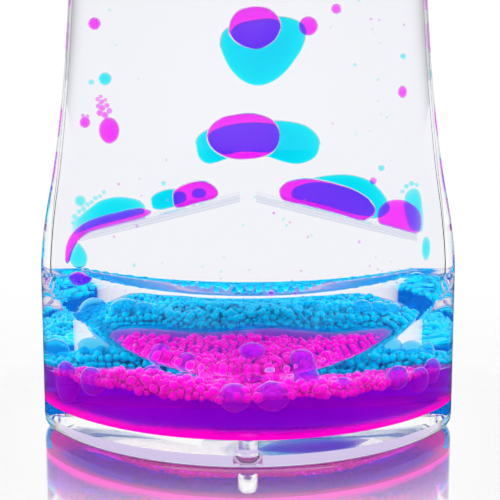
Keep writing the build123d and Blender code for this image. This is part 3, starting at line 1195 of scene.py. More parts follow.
@dataclass
class Foam:
    """Unmerged drops, heaped on a pool in layers that Geometry Nodes strew.

    The foam stays under the roof that the case's shoulder forms over the pool. Its lumps have
    their share of a heap, three turns in radians per millimetre and where the third starts.
    """

    pool: Pool
    heaps: tuple[Heap, ...]
    seed: int
    spacing: float = 0.9
    smallest: float = 0.3
    largest: float = 0.75
    layers: int = 4
    layer_share: float = 0.5
    sunk: float = 0.1
    thinnest: float = 0.2
    shore: float = 0.5
    ceiling: float = 12.2
    ceiling_slope: float = 0.624
    ceiling_reach: float = 19.0
    subdivisions: int = 2
    lumps: tuple[float, ...] = (0.18, 0.9, 1.3, 0.55, -0.8)

    def pile(self, x: np.ndarray, y: np.ndarray) -> np.ndarray:
        """Height of the foam over the pool.

        Args:
            x: Place along the pool.
            y: Distance from the mid-plane.

        Returns:
            The heights.
        """
        total = np.zeros_like(x)
        for heap in self.heaps:
            spread = ((x - heap.x) / heap.reach_x) ** 4 + ((y - heap.y) / heap.reach_y) ** 4
            total = np.maximum(total, heap.height * np.exp(-spread))
        share, along, across, slow, start = self.lumps
        return total * (1 + share * np.sin(along * x + across * y) * np.sin(slow * x + start))

    def build(self, finishes: Finishes) -> bpy.types.Object:
        """Strews the drops and turns them to a plain mesh.

        Args:
            finishes: The timer's materials.

        Returns:
            The foam.
        """
        pool, store = self.pool, MeshStore()
        material = finishes.liquids[State.FOAMED, pool.dye]
        surface, faces = pool.surface(self.shore)
        away = np.abs(surface[:, 1])
        pile = self.pile(surface[:, 0], away)
        room = self.ceiling + self.ceiling_slope * (self.ceiling_reach - away) - self.largest
        for layer in range(self.layers):
            points = surface.copy()
            share = layer / (self.layers - 1)
            points[:, 2] = np.minimum(surface[:, 2] - self.sunk + pile * share, room)
            least = self.spacing * layer * self.layer_share if layer else self.thinnest
            store.add(points, [face for face in faces if min(pile[k] for k in face) > least])
        name = f"{pool.dye.value}_foam"
        ground = mesh_object(name + "_ground", np.vstack(store.points), store.faces, [material])
        tree = instance_tree(name + "_tree", self.subdivisions, material, True)
        piece = grown(name, ground, tree,
                      {"Spacing": self.spacing * MM, "Smallest": self.smallest * MM,
                       "Largest": self.largest * MM, "Seed": self.seed})
        return attach(piece, "case", f"{pool.dye.value}_liquid", f"{pool.side.name.lower()}_raft")


@dataclass
class Beads:
    """Small drops that hang in the oil, each as X, Y, Z and three half sizes."""

    name: str
    dye: Dye
    beads: tuple[tuple[float, ...], ...]
    state: State = State.HANGING
    subdivisions: int = 3
    nodes: tuple[str, ...] = ()
    body: str = "case"

    def build(self, finishes: Finishes) -> bpy.types.Object:
        """Sets a round drop on every point.

        Args:
            finishes: The timer's materials.

        Returns:
            The beads, as one piece.
        """
        table = np.array(self.beads)
        mesh = bpy.data.meshes.new(self.name + "_points")
        mesh.from_pydata((table[:, :3] * MM).tolist(), [], [])
        size = mesh.attributes.new("size", "FLOAT_VECTOR", "POINT")
        size.data.foreach_set("vector", (table[:, 3:] * MM).ravel())
        points = bpy.data.objects.new(self.name + "_points", mesh)
        bpy.context.scene.collection.objects.link(points)
        material = finishes.liquids[self.state, self.dye]
        tree = instance_tree(self.name + "_tree", self.subdivisions, material, False)
        piece = grown(self.name, points, tree, {})
        return attach(piece, self.body, f"{self.dye.value}_liquid", *self.nodes)


@dataclass(frozen=True)
class Dust:
    """The finest droplets, of the size of dust, clear of the way of the falling drops.

    More of them hang low than high, and most are as small as can be seen.
    """

    side: Side
    count: int
    seed: int
    reach_x: tuple[float, float] = (-23.0, 23.5)
    low: float = 19.0
    rise: float = 50.0
    rise_power: float = 1.7
    near: float = 1.2
    far: float = 5.2
    far_fall: float = 0.1
    finest: float = 0.07
    coarser: float = 0.2
    coarse_power: float = 2.5
    way: tuple[float, float] = (-9.0, 11.5)
    way_low: float = 36.0

    def beads(self) -> tuple[tuple[float, ...], ...]:
        """Strews the droplets at random.

        Returns:
            The droplets, as the class Beads takes them.
        """
        chance = np.random.default_rng(self.seed)
        made = []
        for _ in range(self.count):
            x = chance.uniform(*self.reach_x)
            z = self.low + self.rise * chance.random() ** self.rise_power
            y = self.side.value * chance.uniform(self.near, self.far - abs(x) * self.far_fall)
            radius = self.finest + self.coarser * chance.random() ** self.coarse_power
            if not (self.way[0] < x < self.way[1] and z > self.way_low):
                made.append((x, y, z, radius, radius, radius))
        return tuple(made)


@dataclass
class Stream:
    """A run of dyed water along a ramp and over its edge, thick where it gathers.

    The path has X, Z and the stream's half thickness at each step. Its ends taper to a point.
    """

    name: str
    dye: Dye
    path: tuple[tuple[float, float, float], ...]
    middle: float
    half_depth: float
    node: str
    steps: int = 64
    around: int = 24
    taper_steps: float = 5.0
    taper_tip: float = 0.02

    def spots(self) -> np.ndarray:
        """Follows the path with a smooth curve.

        Returns:
            Points and half thicknesses along the curve.
        """
        knots = np.array(self.path)
        knots = np.vstack((2 * knots[0] - knots[1], knots, 2 * knots[-1] - knots[-2]))
        made = []
        for at in np.linspace(0, len(self.path) - 1, self.steps):
            i = min(int(at), len(self.path) - 2)
            made.append(curve_point(knots[i : i + 4], at - i))
        return np.array(made)

    def build(self, finishes: Finishes) -> bpy.types.Object:
        """Builds the stream.

        Args:
            finishes: The timer's materials.

        Returns:
            The stream.
        """
        spots = self.spots()
        run = np.gradient(spots[:, :2], axis=0)
        run /= np.linalg.norm(run, axis=1)[:, None]
        side = np.column_stack((-run[:, 1], run[:, 0]))
        ends = np.minimum(np.arange(self.steps), np.arange(self.steps)[::-1])
        taper = np.sqrt(np.clip((ends + self.taper_tip) / self.taper_steps, 0, 1))
        turn = np.arange(self.around) / self.around * math.tau
        rings = []
        for spot, across, narrow in zip(spots, side, taper):
            reach = spot[2] * narrow * np.sin(turn)
            y = self.middle + self.half_depth * narrow * np.cos(turn)
            rings.append(np.column_stack((spot[0] + reach * across[0], y,
                                          spot[1] + reach * across[1])))
        piece = mesh_object(self.name, np.vstack(rings), tube_faces(self.steps, self.around),
                            [finishes.liquids[State.HANGING, self.dye]])
        turn_outward(piece)
        return attach(piece, "case", f"{self.dye.value}_liquid", self.node)


def turn_outward(piece: bpy.types.Object) -> None:
    """Turns a closed mesh right side out.

    Args:
        piece: The mesh's object.
    """
    work = bmesh.new()
    work.from_mesh(piece.data)
    bmesh.ops.recalc_face_normals(work, faces=work.faces)
    work.to_mesh(piece.data)
    work.free()


@dataclass
class Reservoir:
    """Dyed water that waits on the upper ramps, which form a funnel, to drip through their gap.

    Each wave on it has a height, its turn in radians per millimetre, and where it starts, which
    differs between the sides.
    """

    side: Side
    dye: Dye
    half_length: float = 22.7
    top: float = 130.5
    bottom: float = 124.98
    fall: float = 0.2614
    gap_half_width: float = 1.0
    panel: float = 0.87
    face_radius: float = 75.8
    neck_half_depth: float = 7.03
    squareness: float = 5.0
    waves: tuple[tuple[float, ...], ...] = ((0.35, 0.5, 1.0), (0.2, 1.1, 0.0))
    sag: float = 0.5
    thinnest: float = 0.02
    fade_power: int = 6
    steps: int = 90
    around: int = 32

    def build(self, finishes: Finishes) -> bpy.types.Object:
        """Builds the waiting water.

        Args:
            finishes: The timer's materials.

        Returns:
            The reservoir.
        """
        turn = np.arange(self.around) / self.around * math.tau
        power = 2 / self.squareness
        wide = np.sign(np.cos(turn)) * np.abs(np.cos(turn)) ** power
        tall = np.sign(np.sin(turn)) * np.abs(np.sin(turn)) ** power
        rings = []
        for x in self.half_length * np.sin(np.linspace(-math.pi / 2, math.pi / 2, self.steps)):
            low = self.bottom + self.fall * max(abs(x) - self.gap_half_width, 0.0)
            wave = sum(height * math.sin(turn_rate * x + start * self.side.value)
                       for height, turn_rate, start in self.waves)
            fade = 1 - (abs(x) / self.half_length) ** self.fade_power
            high = max(self.top + (wave - self.sag) * fade, low + self.thinnest)
            bow = self.face_radius - math.sqrt(self.face_radius**2 - x**2)
            far = self.neck_half_depth - bow
            y = (self.panel + far) / 2 + (far - self.panel) / 2 * wide
            z = (low + high) / 2 + (high - low) / 2 * tall
            rings.append(np.column_stack((np.full(self.around, x), self.side.value * y, z)))
        piece = mesh_object(f"{self.dye.value}_waiting", np.vstack(rings),
                            tube_faces(self.steps, self.around),
                            [finishes.liquids[State.HANGING, self.dye]])
        turn_outward(piece)
        return attach(piece, "case", f"{self.dye.value}_liquid",
                      f"{self.side.name.lower()}_reservoir")


@dataclass
class Oil:
    """The clear oil of one half: it fills the cavity up to the walls and the divider."""

    shape: Hourglass
    side: Side
    wall: float = 2.23
    floor_level: float = 4.03
    panel: float = 0.63
    columns: int = 65

    def build(self, finishes: Finishes) -> bpy.types.Object:
        """Builds the oil.

        Args:
            finishes: The timer's materials.

        Returns:
            The oil.
        """
        levels = self.shape.full_height(self.shape.levels(self.floor_level, self.wall))
        sign, half = self.side.value, self.side.name.lower()
        angle = self.shape.crowded(np.linspace(0, math.pi, self.columns))
        rings = []
        for level in levels:
            reach = self.shape.wall(angle, level, self.wall)
            x, y = reach * np.cos(angle), np.maximum(reach * np.sin(angle), self.panel)
            rings.append(np.column_stack((x, sign * y, np.full(len(x), level))))
        piece = mesh_object(f"{half}_oil", np.vstack(rings),
                            tube_faces(len(levels), self.columns, sign > 0), [finishes.oil])
        return attach(piece, "case", "clear_liquid", f"{half}_carrier_liquid")


@dataclass(frozen=True)
class WhiteSurroundings:
    """White for the camera; glass and gloss also see soft dark flags between the cards.

    The light that falls on the liquids inside the case is stronger, to make up for what the clear
    and dyed layers take away. High up, the case's outer gloss sees a dark ceiling, which keeps a
    white veil off its faces. What is seen through the case darkens upwards only a little. Each sky
    has the steepness at which it starts to darken, the one at which it ends, and its last level.
    """

    outer_level: float = 1.0
    inner_level: float = 3.5
    flag_power: float = 4.0
    flag_depth: float = 0.6
    sky: tuple[float, float, float] = (0.05, 0.95, 0.7)
    gloss_sky: tuple[float, float, float] = (0.42, 0.65, 0.15)

    def build(self) -> None:
        """Builds the world and its node tree."""
        world = bpy.data.worlds.new("white_studio")
        bpy.context.scene.world = world
        world.use_nodes = True
        tree = world.node_tree
        tree.nodes.clear()
        output = add_node(tree, "ShaderNodeOutputWorld")
        path = add_node(tree, "ShaderNodeLightPath")
        place = add_node(tree, "ShaderNodeTexCoord")
        axes = add_node(tree, "ShaderNodeSeparateXYZ", links={0: place.outputs["Generated"]})
        # Twice X times Y is 1 on the diagonals, between the cards, and 0 in front of each card.
        across = add_node(tree, "ShaderNodeMath", {"operation": "MULTIPLY"},
                          links={0: axes.outputs["X"], 1: axes.outputs["Y"]})
        either = add_node(tree, "ShaderNodeMath", {"operation": "ABSOLUTE"},
                          links={0: across.outputs[0]})
        corner = add_node(tree, "ShaderNodeMath", {"operation": "MULTIPLY"}, {1: 2.0},
                          {0: either.outputs[0]})
        flags = add_node(tree, "ShaderNodeMath", {"operation": "POWER"}, {1: self.flag_power},
                         {0: corner.outputs[0]})
        dark = add_node(tree, "ShaderNodeMath", {"operation": "MULTIPLY_ADD"},
                        {1: -self.flag_depth, 2: 1.0}, {0: flags.outputs[0]})
        sky, gloss_sky = (
            add_node(tree, "ShaderNodeMapRange", {"interpolation_type": "SMOOTHSTEP"},
                     {"From Min": low, "From Max": high, "To Min": 1.0, "To Max": level},
                     {"Value": axes.outputs["Z"]})
            for low, high, level in (self.sky, self.gloss_sky))
        within = add_node(tree, "ShaderNodeMath", {"operation": "MINIMUM"}, {1: 1.0},
                          {0: path.outputs["Transmission Depth"]})
        above = add_node(tree, "ShaderNodeMix", {"data_type": "FLOAT"},
                         links={0: within.outputs[0], 2: gloss_sky.outputs[0],
                                3: sky.outputs[0]})
        seen = add_node(tree, "ShaderNodeMath", {"operation": "MULTIPLY"},
                        links={0: above.outputs[0], 1: dark.outputs[0]})
        shiny = add_node(tree, "ShaderNodeMath", {"operation": "LESS_THAN"}, {1: 0.5},
                         {0: path.outputs["Diffuse Depth"]})
        soft = add_node(tree, "ShaderNodeMapRange", {},
                        {"To Min": self.outer_level, "To Max": self.inner_level},
                        {"Value": within.outputs[0]})
        unseen = add_node(tree, "ShaderNodeMix", {"data_type": "FLOAT"},
                          links={0: shiny.outputs[0], 2: soft.outputs[0], 3: seen.outputs[0]})
        level = add_node(tree, "ShaderNodeMix", {"data_type": "FLOAT"}, {3: 1.0},
                         {0: path.outputs["Is Camera Ray"], 2: unseen.outputs[0]})
        ground = add_node(tree, "ShaderNodeBackground", values={"Color": linear("#FFFFFF")},
                          links={"Strength": level.outputs[0]})
        tree.links.new(ground.outputs[0], output.inputs["Surface"])


@dataclass(frozen=True)
class LacqueredTable:
    """White lacquer, polished: it mirrors what stands close by, seen from low down.

    Each range has the distance where a change starts, the one where it ends, and its two values.
    Distances are in shares of the foot's half width and half depth. The mirror comes in between
    the two slants of low_view. Under the foot a lilac shadow is painted on the table, the colour
    that the dyes would give its shadow.
    """

    foot_half_width: float = 32.0
    foot_half_depth: float = 22.0
    half_size: float = 3000.0
    paint: str = "#F7F7F8"
    # Painted dark reflection: the table's colour where the case's outer skin reflects it.
    painted_dark_reflection: str = "#303034"
    # Painted shadow: the lilac that the table's card takes under the foot.
    shadow_tint: str = "#D6C8EC"
    roughness: float = 0.03
    mirror: tuple[float, ...] = (1.0, 2.2, 0.9, 0.04)
    backdrop: tuple[float, ...] = (1.5, 6.0, 0.7, 1.0)
    painted_shadow_range: tuple[float, ...] = (0.75, 1.05, 1.0, 0.0)
    low_view: tuple[float, float] = (0.2, 0.6)

    def material(self) -> bpy.types.Material:
        """Makes the lacquer.

        Returns:
            The material.
        """
        material, tree, output = new_material("table_lacquered_white")
        place = add_node(tree, "ShaderNodeTexCoord")
        scaled = add_node(tree, "ShaderNodeMapping", {"vector_type": "POINT"},
                          {"Scale": (1 / (self.foot_half_width * MM),
                                     1 / (self.foot_half_depth * MM), 0.0)},
                          {"Vector": place.outputs["Object"]})
        away = add_node(tree, "ShaderNodeVectorMath", {"operation": "LENGTH"},
                        links={0: scaled.outputs[0]})
        mirror, fade, under = (
            add_node(tree, "ShaderNodeMapRange", {"interpolation_type": "SMOOTHSTEP"},
                     {"From Min": start, "From Max": end, "To Min": first, "To Max": last},
                     {"Value": away.outputs["Value"]})
            for start, end, first, last in (self.mirror, self.backdrop, self.painted_shadow_range))
        path = add_node(tree, "ShaderNodeLightPath")
        outer = add_node(tree, "ShaderNodeMath", {"operation": "LESS_THAN"}, {1: 0.5},
                         {0: path.outputs["Transmission Depth"]})
        sheen = add_node(tree, "ShaderNodeMath", {"operation": "MULTIPLY"},
                         links={0: outer.outputs[0], 1: path.outputs["Is Glossy Ray"]})
        unseen = add_node(tree, "ShaderNodeMath", {"operation": "MAXIMUM"},
                          links={0: sheen.outputs[0], 1: path.outputs["Is Diffuse Ray"]})
        seen = add_node(tree, "ShaderNodeMath", {"operation": "SUBTRACT"}, {0: 1.0},
                        {1: unseen.outputs[0]})
        bright = add_node(tree, "ShaderNodeMath", {"operation": "MAXIMUM"},
                          links={0: fade.outputs[0], 1: path.outputs["Is Transmission Ray"]})
        lit = add_node(tree, "ShaderNodeMath", {"operation": "MULTIPLY"},
                       links={0: seen.outputs[0], 1: bright.outputs[0]})
        # Painted reflection: seen in the case's outer gloss, the table is painted dark.
        tone = add_node(tree, "ShaderNodeMix", {"data_type": "RGBA"},
                        {6: linear(self.paint), 7: linear(self.painted_dark_reflection)},
                        {0: sheen.outputs[0]})
        paint = add_node(tree, "ShaderNodeBsdfDiffuse", links={"Color": tone.outputs[2]})
        # Painted shadow: under the foot the white card turns to the lilac of a dyed shadow.
        cast = add_node(tree, "ShaderNodeMix", {"data_type": "RGBA"},
                        {6: linear("#FFFFFF"), 7: linear(self.shadow_tint)},
                        {0: under.outputs[0]})
        card = add_node(tree, "ShaderNodeEmission", links={"Color": cast.outputs[2]})
        pale = add_node(tree, "ShaderNodeMixShader",
                        links={0: lit.outputs[0], 1: paint.outputs[0], 2: card.outputs[0]})
        slant = add_node(tree, "ShaderNodeLayerWeight", values={"Blend": 0.5})
        low = add_node(tree, "ShaderNodeMapRange", {"interpolation_type": "SMOOTHSTEP"},
                       {"From Min": self.low_view[0], "From Max": self.low_view[1]},
                       {"Value": slant.outputs["Facing"]})
        seen_low = add_node(tree, "ShaderNodeMath", {"operation": "MULTIPLY"},
                            links={0: low.outputs[0], 1: path.outputs["Is Camera Ray"]})
        facing = add_node(tree, "ShaderNodeMath", {"operation": "MULTIPLY"},
                          links={0: mirror.outputs[0], 1: seen_low.outputs[0]})
        gloss = add_node(tree, "ShaderNodeBsdfGlossy",
                         values={"Color": linear("#FFFFFF"), "Roughness": self.roughness})
        skin = add_node(tree, "ShaderNodeMixShader",
                        links={0: facing.outputs[0], 1: pale.outputs[0], 2: gloss.outputs[0]})
        tree.links.new(skin.outputs[0], output.inputs["Surface"])
        return material

    def build(self) -> None:
        """Builds the table's top, which is stage and no part of the timer."""
        half = self.half_size
        corners = np.array([(-half, -half, 0), (half, -half, 0), (half, half, 0), (-half, half, 0)])
        mesh_object("table", corners, [(0, 1, 2, 3)], [self.material()], smooth=False)


@dataclass
class Studio:
    """The surroundings and the camera of the photograph, which is 500 pixels wide and high.

    Focal length, horizon and centre column are in its pixels.
    """

    focal_pixels: float = 840.0
    frame_pixels: float = 500.0
    sensor: float = 36.0
    distance: float = 130.0
    eye_level: float = 44.5
    horizon: float = 138.6
    centre_column: float = 248.0
    shift: float = -0.04
    nearest: float = 5.0
    bounces: int = 48

    def camera(self) -> None:
        """Looks slightly down at the lower half, from close in front."""
        lens = bpy.data.cameras.new("camera")
        lens.lens = self.focal_pixels / self.frame_pixels * self.sensor
        lens.sensor_width = self.sensor
        lens.shift_y = self.shift
        lens.clip_start = self.nearest * MM
        drop = self.frame_pixels / 2 - self.horizon + self.shift * self.frame_pixels
        tilt = math.atan(drop / self.focal_pixels)
        eye = bpy.data.objects.new("camera", lens)
        side = (self.frame_pixels / 2 - self.centre_column) / self.focal_pixels * self.distance
        eye.location = (side * MM, -self.distance * MM, self.eye_level * MM)
        eye.rotation_euler = (math.pi / 2 - tilt, 0.0, 0.0)
        bpy.context.scene.collection.objects.link(eye)
        bpy.context.scene.camera = eye

    def build(self) -> None:
        """Builds the surroundings, and lets light pass through all the clear layers."""
        WhiteSurroundings().build()
        LacqueredTable().build()
        self.camera()
        scene = bpy.context.scene
        scene.view_settings.view_transform = "Standard"
        scene.cycles.max_bounces = self.bounces
        scene.cycles.transmission_bounces = self.bounces
        scene.cycles.glossy_bounces = self.bounces
        scene.cycles.transparent_max_bounces = self.bounces
        LOG.info("studio: camera %.0f mm away", self.distance)


def drops() -> list[Drop]:
    """Lists the moving drops, with their outlines in X and Z as they hang in the photograph.

    Returns:
        The drops. Those on a ramp slide towards its end.
    """
    pink, blue, ramp_slide = Dye.MAGENTA, Dye.CYAN, 1.5
    made = []
    for name, dye, corners in (
        ("magenta_drop_top", pink, (
            (-2.4, 67.3), (-1.5, 69.5), (0.9, 70.2), (3.3, 69.5), (4.3, 67.3), (3.3, 65.3),
            (0.9, 64.6), (-1.3, 65.3))),
        ("magenta_drop_upper", pink, (
            (-2.8, 60.0), (-2.5, 61.6), (-1.5, 62.9), (0.0, 63.4), (1.5, 63.5), (3.1, 63.2),
            (4.3, 62.1), (4.8, 60.7), (4.3, 59.2), (3.3, 58.1), (1.6, 57.3), (-0.1, 57.5),
            (-1.6, 58.2), (-2.5, 59.2))),
        ("magenta_drop_lower", pink, (
            (-6.0, 44.8), (-5.4, 46.4), (-3.9, 47.6), (-1.9, 48.1), (0.3, 48.3), (2.1, 48.0),
            (3.7, 47.2), (4.6, 45.7), (4.6, 44.1), (3.9, 42.7), (2.4, 41.8), (0.3, 41.4),
            (-1.8, 41.4), (-3.9, 42.0), (-5.4, 43.2))),
        ("cyan_drop_upper", blue, (
            (-4.1, 58.6), (-3.8, 60.3), (-3.0, 61.2), (-1.2, 62.1), (1.2, 62.6), (3.6, 62.9),
            (5.6, 62.8), (7.3, 62.2), (8.2, 61.0), (8.3, 59.5), (7.9, 58.0), (6.8, 56.2),
            (5.6, 54.6), (4.1, 53.3), (2.3, 52.5), (0.6, 52.5), (-1.2, 53.4), (-2.6, 54.9),
            (-3.6, 56.8))),
        ("cyan_drop_lower", blue, (
            (-7.7, 43.7), (-7.4, 44.8), (-6.4, 45.7), (-3.9, 46.7), (-0.5, 47.3), (3.3, 47.4),
            (6.7, 47.1), (8.9, 46.3), (10.3, 44.8), (10.6, 43.3), (10.0, 41.7), (8.6, 40.8),
            (7.0, 40.5), (5.2, 40.8), (2.6, 41.6), (-0.5, 42.0), (-2.7, 41.6), (-4.5, 40.8),
            (-6.1, 40.6), (-7.3, 41.6))),
        ("magenta_ramp_drop_left", pink, (
            (-11.0, 35.4), (-10.9, 36.7), (-10.0, 37.5), (-8.6, 38.1), (-7.1, 38.4),
            (-5.8, 38.2), (-4.6, 37.3), (-4.2, 36.3), (-4.8, 35.6), (-6.0, 35.2), (-7.9, 34.7),
            (-9.8, 34.2), (-10.7, 34.4))),
        ("magenta_ramp_drop_right", pink, (
            (4.5, 36.3), (4.6, 37.2), (5.5, 38.1), (6.8, 38.5), (8.5, 38.7), (10.4, 38.5),
            (12.6, 38.0), (14.9, 37.3), (16.7, 36.4), (18.2, 35.2), (18.8, 34.0), (18.5, 33.0),
            (17.6, 32.4), (16.4, 32.3), (14.4, 32.9), (11.5, 33.7), (8.5, 34.5), (6.2, 35.0),
            (4.9, 35.5))),
        ("magenta_ramp_drop_outer", pink, (
            (19.1, 32.7), (19.2, 33.7), (19.8, 34.6), (20.8, 35.2), (22.2, 35.4), (23.7, 35.1),
            (25.0, 34.3), (25.8, 33.3), (26.1, 32.1), (26.0, 30.8), (25.4, 30.2), (24.4, 30.3),
            (22.3, 30.9), (20.4, 31.4), (19.4, 31.8))),
        ("magenta_side_drop_left", pink, (
            (-27.4, 22.5), (-26.9, 23.8), (-25.5, 24.4), (-24.2, 23.8), (-23.6, 22.5),
            (-24.2, 21.1), (-25.5, 20.4), (-26.8, 21.0))),
        ("cyan_ramp_drop_left", blue, (
            (-26.5, 29.9), (-26.6, 30.8), (-26.1, 31.9), (-25.0, 32.8), (-23.6, 33.9),
            (-22.0, 35.0), (-19.7, 35.6), (-17.6, 35.5), (-15.9, 35.0), (-15.1, 33.9),
            (-15.4, 33.0), (-16.7, 32.5), (-19.4, 31.7), (-22.4, 30.9), (-24.8, 30.1))),
        ("cyan_ramp_drop_inner", blue, (
            (-14.4, 34.9), (-14.1, 35.8), (-13.2, 36.4), (-12.1, 36.8), (-10.9, 36.9),
            (-9.7, 36.6), (-9.1, 35.7), (-9.2, 34.8), (-10.0, 34.2), (-11.5, 33.8),
            (-13.0, 33.5), (-14.1, 33.8))),
        ("cyan_ramp_drop_right", blue, (
            (6.1, 35.8), (6.5, 37.1), (8.0, 38.0), (9.8, 38.6), (12.0, 39.0), (14.2, 39.1),
            (16.2, 38.8), (18.0, 38.1), (19.5, 36.8), (20.6, 35.3), (21.1, 33.9), (20.6, 32.9),
            (19.4, 32.3), (17.9, 32.2), (15.5, 32.7), (12.4, 33.4), (9.4, 34.2), (7.0, 34.9))),
        ("cyan_ramp_drop_outer", blue, (
            (23.9, 31.6), (23.3, 34.1), (23.5, 36.0), (24.4, 36.9), (25.4, 36.7), (25.9, 35.5),
            (26.2, 33.6), (26.4, 31.8), (26.3, 30.4), (25.6, 30.0), (24.5, 30.4))),
        ("cyan_side_drop_left", blue, (
            (-25.6, 28.4), (-26.3, 27.4), (-27.0, 26.1), (-26.7, 25.1), (-25.7, 24.4),
            (-24.6, 24.8), (-24.1, 25.8), (-24.4, 27.0), (-25.0, 27.9))),
        ("cyan_side_drop_right", blue, (
            (23.6, 22.3), (24.1, 23.3), (25.5, 23.8), (26.8, 23.3), (27.4, 22.3), (26.8, 21.3),
            (25.5, 20.7), (24.1, 21.3))),
    ):
        made.append(Drop(name, dye, corners, ramp_slide if "_ramp_" in name else 0.0))
    return made


def hanging_beads() -> list[Beads]:
    """Lists the small drops that hang still, the froth on the drops and the specks of dust size.

    Returns:
        The droplets, each kind as one piece.
    """
    magenta = (
        (8.6, -3.3, 60.8, 1.42, 1.3, 1.42), (12.6, -3.0, 63.3, 0.75, 0.7, 0.75),
        (22.6, -2.6, 51.4, 0.72, 0.7, 0.92), (18.4, -2.5, 38.2, 0.55, 0.5, 0.55),
        (-22.2, -2.8, 61.3, 0.95, 0.9, 0.95), (-24.0, -2.5, 46.9, 0.85, 0.8, 0.85),
        (-20.3, -2.8, 45.7, 1.6, 1.3, 2.0), (3.4, -8.2, 21.9, 0.55, 0.5, 0.55),
        (6.9, -8.2, 21.9, 0.42, 0.4, 0.42),
    )
    froth = (
        (-20.9, -2.6, 48.0, 0.55, 0.5, 0.5), (-21.7, -2.6, 48.3, 0.5, 0.5, 0.5),
        (-20.2, -2.9, 48.6, 0.45, 0.4, 0.45), (-21.3, -2.5, 49.0, 0.5, 0.5, 0.5),
        (-20.6, -2.7, 49.4, 0.45, 0.4, 0.4), (-21.9, -2.6, 49.3, 0.4, 0.4, 0.4),
        (-21.4, -2.8, 49.9, 0.45, 0.4, 0.4), (-20.8, -2.6, 50.2, 0.35, 0.3, 0.3),
        (-22.0, -2.7, 50.3, 0.35, 0.3, 0.35), (-21.5, -2.6, 50.7, 0.35, 0.3, 0.3),
        (-23.6, -2.4, 47.8, 0.35, 0.3, 0.3), (-24.3, -2.4, 47.9, 0.3, 0.3, 0.3),
    )
    cyan = (
        (22.7, 2.2, 56.9, 0.45, 0.45, 0.45), (-25.1, 2.35, 34.9, 0.9, 0.5, 0.9),
        (19.7, 2.2, 40.0, 0.5, 0.5, 0.5), (-12.4, 2.0, 37.7, 0.38, 0.35, 0.38),
        (-21.4, 2.0, 36.3, 0.33, 0.3, 0.33), (-7.1, 2.2, 36.15, 1.2, 1.1, 1.15),
        (-20.9, 2.2, 53.5, 1.0, 0.9, 1.0), (-23.0, 2.0, 53.0, 0.45, 0.4, 0.45),
        (26.9, 2.0, 27.5, 0.72, 0.7, 1.9),
    )
    lather_left = (
        (-26.0, 1.35, 32.5, 0.5, 0.3, 0.5), (-25.3, 1.35, 33.3, 0.4, 0.3, 0.4),
        (-24.6, 1.35, 33.7, 0.45, 0.3, 0.45), (-23.9, 1.35, 34.4, 0.4, 0.3, 0.4),
        (-23.3, 1.35, 34.8, 0.35, 0.3, 0.35), (-22.7, 1.35, 35.4, 0.4, 0.3, 0.4),
        (-22.0, 1.4, 35.7, 0.3, 0.3, 0.3), (-26.3, 1.3, 31.6, 0.35, 0.3, 0.35),
    )
    lather_right = (
        (23.6, 2.0, 37.2, 0.4, 0.4, 0.4), (24.4, 2.1, 37.6, 0.45, 0.4, 0.4),
        (25.2, 2.0, 37.4, 0.35, 0.3, 0.35), (23.0, 2.0, 36.4, 0.35, 0.3, 0.35),
    )
    return [
        Beads("magenta_hanging", Dye.MAGENTA, magenta, nodes=("magenta_beads",)),
        Beads("cyan_hanging", Dye.CYAN, cyan, nodes=("cyan_beads",)),
        Beads("magenta_froth", Dye.MAGENTA, froth),
        Beads("cyan_froth_left", Dye.CYAN, lather_left, body="cyan_ramp_drop_left"),
        Beads("cyan_froth_right", Dye.CYAN, lather_right, body="cyan_ramp_drop_outer"),
        Beads("magenta_specks", Dye.MAGENTA, Dust(Side.FRONT, 130, 11).beads(), subdivisions=2),
        Beads("cyan_specks", Dye.CYAN, Dust(Side.REAR, 90, 12).beads(), subdivisions=2),
    ]


def pool_drops() -> list[Beads]:
    """Lists the large drops that float in the pools and haven't merged yet.

    Returns:
        The drops of the front pool and those of the rear pool.
    """
    magenta = (
        (-25.2, -5.2, 8.2, 2.4, 2.3, 3.2), (-21.3, -9.9, 9.6, 2.1, 2.0, 2.1),
        (-1.7, -17.5, 9.5, 2.15, 2.1, 2.0), (3.2, -17.1, 9.6, 2.3, 2.2, 2.1),
        (-8.6, -12.5, 10.7, 1.3, 1.2, 1.2), (7.6, -13.2, 11.4, 1.7, 1.5, 1.5),
        (20.4, -10.9, 10.4, 1.8, 1.8, 1.8), (23.8, -7.8, 9.2, 1.8, 1.7, 1.9),
        (25.8, -5.3, 9.9, 1.8, 1.7, 1.9), (12.6, -14.6, 10.6, 1.1, 1.0, 1.0),
        (-12.4, -10.8, 11.3, 1.4, 1.3, 1.3), (0.6, -11.4, 11.8, 1.9, 1.6, 1.4),
    )
    cyan = (
        (-19.5, 4.0, 12.4, 2.2, 1.8, 1.5), (-16.4, 3.2, 12.2, 1.6, 1.5, 1.4),
        (18.0, 3.6, 12.6, 1.5, 1.5, 1.3), (20.6, 4.0, 11.8, 1.8, 1.6, 1.5),
        (22.8, 4.8, 11.4, 1.3, 1.3, 1.2), (-24.6, 6.0, 11.2, 2.0, 2.0, 1.7),
    )
    return [
        Beads("magenta_large_drops", Dye.MAGENTA, magenta, State.UNMERGED, 4),
        Beads("cyan_large_drops", Dye.CYAN, cyan, State.UNMERGED, 4),
    ]


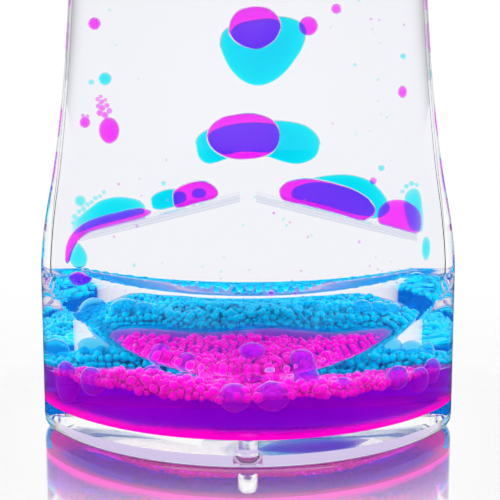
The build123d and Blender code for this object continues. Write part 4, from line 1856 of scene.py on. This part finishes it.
def dress_cad_nodes(finishes: Finishes) -> None:
    """Gives the ramps and the filling plugs, which keep their CAD shape, their finish.

    Args:
        finishes: The timer's materials.
    """
    for name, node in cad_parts.items():
        if name.endswith(("_ramp", "_plug")):
            node.data.materials.clear()
            node.data.materials.append(finishes.plug if name.endswith("_plug") else finishes.sheet)
            LOG.info("%s keeps its CAD shape", name)


def foaming_pools(shape: Hourglass) -> list[Pool | Foam]:
    """Both pools, each with the foam on it, heaped as in the photograph.

    Args:
        shape: The case's shape.

    Returns:
        Pool and foam of the front half, then of the rear half.
    """
    front = (Heap(-13.0, 15.0, 12.0, 5.5, 2.0), Heap(5.0, 15.0, 22.0, 5.0, 1.4),
             Heap(0.0, 12.0, 28.0, 9.0, 0.9))
    rear = (Heap(0.0, 3.0, 25.0, 5.5, 2.4), Heap(0.0, 10.0, 28.0, 9.0, 1.0))
    made = []
    for side, dye, heaps, seed in ((Side.FRONT, Dye.MAGENTA, front, 3),
                                   (Side.REAR, Dye.CYAN, rear, 8)):
        pool = Pool(shape, side, dye)
        made += [pool, Foam(pool, heaps, seed)]
    return made


def stream() -> Stream:
    """Lays the strand of magenta that runs down the left ramp and over its end.

    Returns:
        The strand.
    """
    path = (
        (-14.1, 33.5, 0.5), (-16.1, 33.3, 0.85), (-19.0, 32.6, 0.95), (-22.0, 31.8, 0.95),
        (-24.3, 30.9, 0.88), (-25.9, 29.6, 0.8), (-26.8, 28.0, 0.68), (-27.2, 26.4, 0.5),
        (-27.3, 25.5, 0.4),
    )
    return Stream("magenta_stream", Dye.MAGENTA, path, -1.8, 0.92, "magenta_ramp_strand")


def main() -> None:
    """Builds the timer and its studio, in order."""
    logging.basicConfig(level=logging.INFO, format="%(message)s")
    finishes, shape = Finishes(), Hourglass()
    dress_cad_nodes(finishes)
    for piece in (Case(shape), DividerSheet(shape), *(Oil(shape, side) for side in Side),
                  *foaming_pools(shape), *hanging_beads(), *pool_drops(), stream(),
                  Reservoir(Side.FRONT, Dye.MAGENTA), Reservoir(Side.REAR, Dye.CYAN), *drops()):
        piece.build(finishes)
    Studio().build()


if __name__ == "__main__":
    main()
